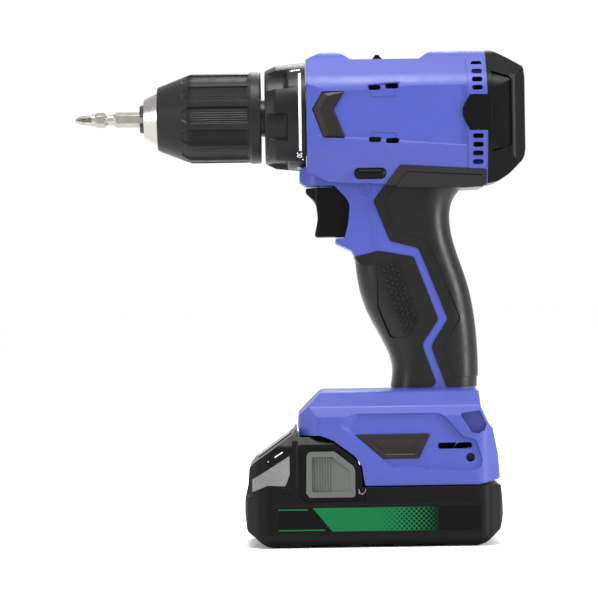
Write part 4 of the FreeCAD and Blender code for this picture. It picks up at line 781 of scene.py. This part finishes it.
class DRILL_OT_build_treads(bpy.types.Operator):
    """Lay rows of small blocks in the handle's sunk fields"""

    bl_idname = "drill.build_treads"
    bl_label = "Build Treads"

    def execute(self, context):
        height = context.scene.drill_sizes.tread / MM
        for side, name in ((LEFT, "left"), (RIGHT, "right")):
            ground = Ground(side, name + "_grip")
            bm = bmesh.new()
            for row in range(TREAD_ROWS):
                for column in range(TREAD_COLUMNS):
                    self.block(bm, ground, row, column, height)
            finish_piece(
                closed(bm), name + "_treads", "tool_body", "black_rubber", smooth=20.0
            )
        return {"FINISHED"}

    def block(self, bm, ground, row, column, height):
        """One long or short block; every other column is half a block lower."""
        slip = 0.45 if column % 2 else 0.0
        long = 0.30 if (row + 2 * column) % 3 else 0.20
        middle_u = (column + 0.5) / TREAD_COLUMNS
        middle_v = (row + 0.5 + slip) / (TREAD_ROWS + 0.5)
        half_u, half_v = 0.40 / TREAD_COLUMNS, long * 1.25 / TREAD_ROWS
        corners = [(-1, -0.5), (-0.6, -1), (0.8, -1), (1, -0.4)]
        corners += [(1, 0.5), (0.6, 1), (-0.8, 1), (-1, 0.4)]
        outline = []
        for u, v in corners:
            outline.append(self.field(middle_u + u * half_u, middle_v + v * half_v))
        top = inset(outline, 0.25)
        laid_block(bm, ground, [(outline, -0.2), (outline, 0.5 * height), (top, height)])

    def field(self, u, v):
        """A place in the slanted field, u across it and v down it."""
        top = (2.9 + 8.6 * u, 133.6 + 0.3 * u)
        foot = (14.2 + 6.6 * u, 98.6 + 8.0 * u * u)
        return (top[0] + (foot[0] - top[0]) * v, top[1] + (foot[1] - top[1]) * v)


CHEVRON = [
    (-22.9, 214.3), (-12.1, 214.3), (-17.5, 206.0), (-12.1, 192.3), (-22.6, 192.6), (-27.5, 206.2),
]
CHEVRON_TOP = [
    (-20.2, 212.2), (-13.4, 213.6), (-18.3, 206.0), (-13.1, 193.2), (-20.0, 193.9), (-23.9, 206.1),
]
INSERT = [(-9.4, 52.9), (25.4, 52.9), (19.9, 41.6), (3.1, 41.6)]
INSERT_RIM = [(-4.6, 51.4), (22.3, 51.4), (18.2, 43.3), (4.5, 43.3)]
INSERT_FLOOR = [(1.4, 47.2), (18.6, 47.2), (18.1, 46.6), (2.2, 46.6)]


class DRILL_OT_build_trims(bpy.types.Operator):
    """Cut the faceted trims of the head and the foot"""

    bl_idname = "drill.build_trims"
    bl_label = "Build Trims"

    def execute(self, context):
        head = bmesh.new()
        foot = bmesh.new()
        for side in (LEFT, RIGHT):
            ground = Ground(side, "chevrons")
            rings = [(CHEVRON, -1.6), (CHEVRON, -1.2), (CHEVRON_TOP, 0.0)]
            laid_block(head, ground, rings, [(0, 1, 2, 5), (5, 2, 3, 4)])
            ground = Ground(side, "foot_inserts")
            rings = [(INSERT, -1.48), (INSERT, -0.15), (inset(INSERT, 0.15), 0.0)]
            rings += [(INSERT_RIM, 0.0), (inset(INSERT_RIM, 0.3), -0.25), (INSERT_FLOOR, -1.3)]
            laid_block(foot, ground, rings)
        finish_piece(
            closed(head), "head_trims", "tool_body", "bronze_trim", ["chevrons"], 12.0
        )
        finish_piece(
            closed(foot), "foot_trims", "tool_body", "bronze_trim", ["foot_inserts"], 12.0
        )
        return {"FINISHED"}


class DRILL_OT_build_mark(bpy.types.Operator):
    """Emboss a plain round mark under the direction selector"""

    bl_idname = "drill.build_mark"
    bl_label = "Build Mark"

    def execute(self, context):
        bm = bmesh.new()
        for side, name in ((LEFT, "left_housing"), (RIGHT, "right_housing")):
            ground = Ground(side, name)
            ridge(bm, ground, circle_path(MARK_CENTRE, MARK_RADIUS, 40), *MARK_LINE, closed=True)
            ridge(bm, ground, [(-3.6, 170.0), (-3.6, 167.4)], *MARK_LINE)
            ridge(bm, ground, [(-3.6, 167.6), (-1.4, 167.6)], *MARK_LINE)
        finish_piece(closed(bm), "round_marks", "tool_body", "blue_shell")
        return {"FINISHED"}


FACET = [(-58.3, 32.4), (-58.3, 26.5), (-50.9, 29.8), (-42.6, 29.4), (-40.6, 43.6)]
SWOOSH = [
    (-60.6, 24.6), (-57.0, 25.6), (-53.4, 27.3), (-50.0, 28.4), (-46.0, 28.2), (-42.0, 27.4),
    (-39.4, 26.9),
]


class DRILL_OT_build_battery_details(bpy.types.Operator):
    """Lay the grey facets, painted lighter grey to stand in for the light they catch, and the
    ridges, gauge line and strap hooks on the battery
    """

    bl_idname = "drill.build_battery_details"
    bl_label = "Build Battery Details"

    def execute(self, context):
        height = context.scene.drill_sizes.print_height / MM
        facets = bmesh.new()
        ridges = bmesh.new()
        lines = bmesh.new()
        hooks = bmesh.new()
        for side in (LEFT, RIGHT):
            ground = Ground(side, "battery_upper_case")
            self.facet(facets, ground)
            ridge(ridges, ground, SWOOSH, 1.6, 0.32)
            # A thin white line laid along the side edge of the gauge panel.
            path = [(-50.7, 40.9), (-47.2, 43.2), (-43.8, 45.4)]
            ridge(lines, ground, path, 0.45, height, sink=0.1)
            self.hook(hooks, side)
        finish_piece(closed(facets), "battery_facets", "battery_body", "grey_grain")
        finish_piece(closed(ridges), "battery_ridges", "battery_body", "black_shell")
        finish_piece(closed(lines), "gauge_lines", "battery_body", "white_print")
        finish_piece(closed(hooks), "strap_hooks", "battery_body", "spring_steel")
        return {"FINISHED"}

    def facet(self, bm, ground):
        """The grained facet, in narrow bands that follow the case's rounded corner; its grain is
        real, and its light grey tone is painted light.
        """
        low, high = FACET[0][0], FACET[4][0]
        top = [FACET[0], FACET[4]]
        foot = [FACET[1], FACET[2], FACET[3], (high, 35.0)]
        columns = []
        for i in range(FACET_BANDS + 1):
            x = low + (high - low) * i / FACET_BANDS
            z, rise = height_on(foot, x), height_on(top, x) - height_on(foot, x)
            columns.append([(x, z + rise * k / FACET_STEPS) for k in range(FACET_STEPS + 1)])
        outer = [[bm.verts.new(ground.place(x, z, 0.12)) for x, z in row] for row in columns]
        inner = [[bm.verts.new(ground.place(x, z, -0.2)) for x, z in row] for row in columns]
        for sheet, flip in ((outer, False), (inner, True)):
            for one, two in zip(sheet, sheet[1:]):
                for k in range(FACET_STEPS):
                    face = (one[k], one[k + 1], two[k + 1], two[k])
                    bm.faces.new(face[::-1] if flip else face)
        rim = [(i, 0) for i in range(FACET_BANDS + 1)]
        rim += [(FACET_BANDS, k) for k in range(1, FACET_STEPS + 1)]
        rim += [(i, FACET_STEPS) for i in range(FACET_BANDS - 1, -1, -1)]
        rim += [(0, k) for k in range(FACET_STEPS - 1, 0, -1)]
        for (i, k), (m, n) in zip(rim, rim[1:] + rim[:1]):
            bm.faces.new((outer[i][k], outer[m][n], inner[m][n], inner[i][k]))

    def hook(self, bm, side):
        """A small bent wire eye beside the latch."""
        path = [(-8.4, 27.4), (-8.3, 25.6), (-6.6, 25.2), (-5.5, 26.2), (-5.0, 27.6)]
        for (ax, az), (bx, bz) in zip(path, path[1:]):
            length = math.hypot(bx - ax, bz - az)
            turn = Matrix.Rotation(math.atan2(bx - ax, bz - az), 4, "Y")
            middle = ((ax + bx) / 2 * MM, side * WIRE_SIDE * MM, (az + bz) / 2 * MM)
            bmesh.ops.create_cone(
                bm, cap_ends=True, segments=12, radius1=WIRE_RADIUS * MM,
                radius2=WIRE_RADIUS * MM, depth=(length + 0.3) * MM,
                matrix=Matrix.Translation(middle) @ turn,
            )


class DRILL_OT_build_stage(bpy.types.Operator):
    """Lay the pale floor, hang the lights and set the camera"""

    bl_idname = "drill.build_stage"
    bl_label = "Build Stage"

    def execute(self, context):
        studio = context.scene.drill_studio
        bm = bmesh.new()
        bmesh.ops.create_grid(bm, x_segments=1, y_segments=1, size=40.0)
        s = Shader("pale_floor")
        tone = s.mix(s.noise(4.0), (0.96, 0.96, 0.96), (0.98, 0.98, 0.98))
        floor = mesh_object(bm, "floor", s.surface(Base_Color=tone, Roughness=0.7))

        world = bpy.data.worlds.new("studio")
        world.use_nodes = True
        sky = world.node_tree.nodes["Background"]
        sky.inputs["Color"].default_value = (1.0, 1.0, 1.0, 1.0)
        sky.inputs["Strength"].default_value = studio.sky
        context.scene.world = world
        context.scene.view_settings.view_transform = "Standard"

        self.lamp("key_light", (-0.05, -0.30, 1.05), (0.40, 0.40), studio.key)
        self.lamp("left_light", (-0.95, -0.60, 0.40), (0.16, 0.60), studio.side)
        self.lamp("right_light", (1.02, -0.40, 0.36), (0.22, 0.70), studio.right)
        self.lamp("rear_light", (0.10, 0.75, 0.80), (0.45, 0.45), studio.side)

        camera = bpy.data.cameras.new("camera")
        camera.lens = studio.lens
        camera.clip_end = 100.0
        distance = studio.view_width * studio.lens / camera.sensor_width
        seat = linked("camera", camera)
        place = Matrix.Translation((studio.centre_x, -distance, studio.centre_z))
        lean = Matrix.Rotation(studio.roll, 4, "Y")
        seat.matrix_world = place @ lean @ Matrix.Rotation(math.radians(90), 4, "X")
        context.scene.camera = seat
        return {"FINISHED"}

    def lamp(self, name, place, size, power):
        """A rectangular light of a size in metres, turned towards the drill."""
        light = bpy.data.lights.new(name, "AREA")
        light.shape = "RECTANGLE"
        light.size, light.size_y = size
        light.energy = power
        lamp = linked(name, light)
        aim = Vector((-0.03, 0, 0.12)) - Vector(place)
        turn = aim.to_track_quat("-Z", "Y").to_matrix().to_4x4()
        lamp.matrix_world = Matrix.Translation(place) @ turn


class DRILL_PT_panel(bpy.types.Panel):
    """Lists the drill's pieces"""

    bl_label = "Cordless Drill"
    bl_idname = "DRILL_PT_panel"
    bl_space_type = "VIEW_3D"
    bl_region_type = "UI"
    bl_category = "Drill"

    def draw(self, context):
        for operator in OPERATORS:
            self.layout.operator(operator.bl_idname)


GROUPS = {
    "drill_finishes": DrillFinishes,
    "drill_sizes": DrillSizes,
    "drill_studio": DrillStudio,
}
OPERATORS = [
    DRILL_OT_finish_frame,
    DRILL_OT_build_chuck_sleeve,
    DRILL_OT_build_torque_ring,
    DRILL_OT_print_dial,
    DRILL_OT_build_selector,
    DRILL_OT_build_springs,
    DRILL_OT_build_treads,
    DRILL_OT_build_trims,
    DRILL_OT_build_mark,
    DRILL_OT_build_battery_details,
    DRILL_OT_build_stage,
]


def register():
    for kind in [*GROUPS.values(), *OPERATORS, DRILL_PT_panel]:
        bpy.utils.register_class(kind)
    for name, kind in GROUPS.items():
        setattr(bpy.types.Scene, name, PointerProperty(type=kind))


def unregister():
    for name in GROUPS:
        delattr(bpy.types.Scene, name)
    for kind in [DRILL_PT_panel, *OPERATORS[::-1], *GROUPS.values()]:
        bpy.utils.unregister_class(kind)


def main():
    register()
    for operator in OPERATORS:
        family, name = operator.bl_idname.split(".")
        getattr(getattr(bpy.ops, family), name)()


if __name__ == "__main__":
    main()
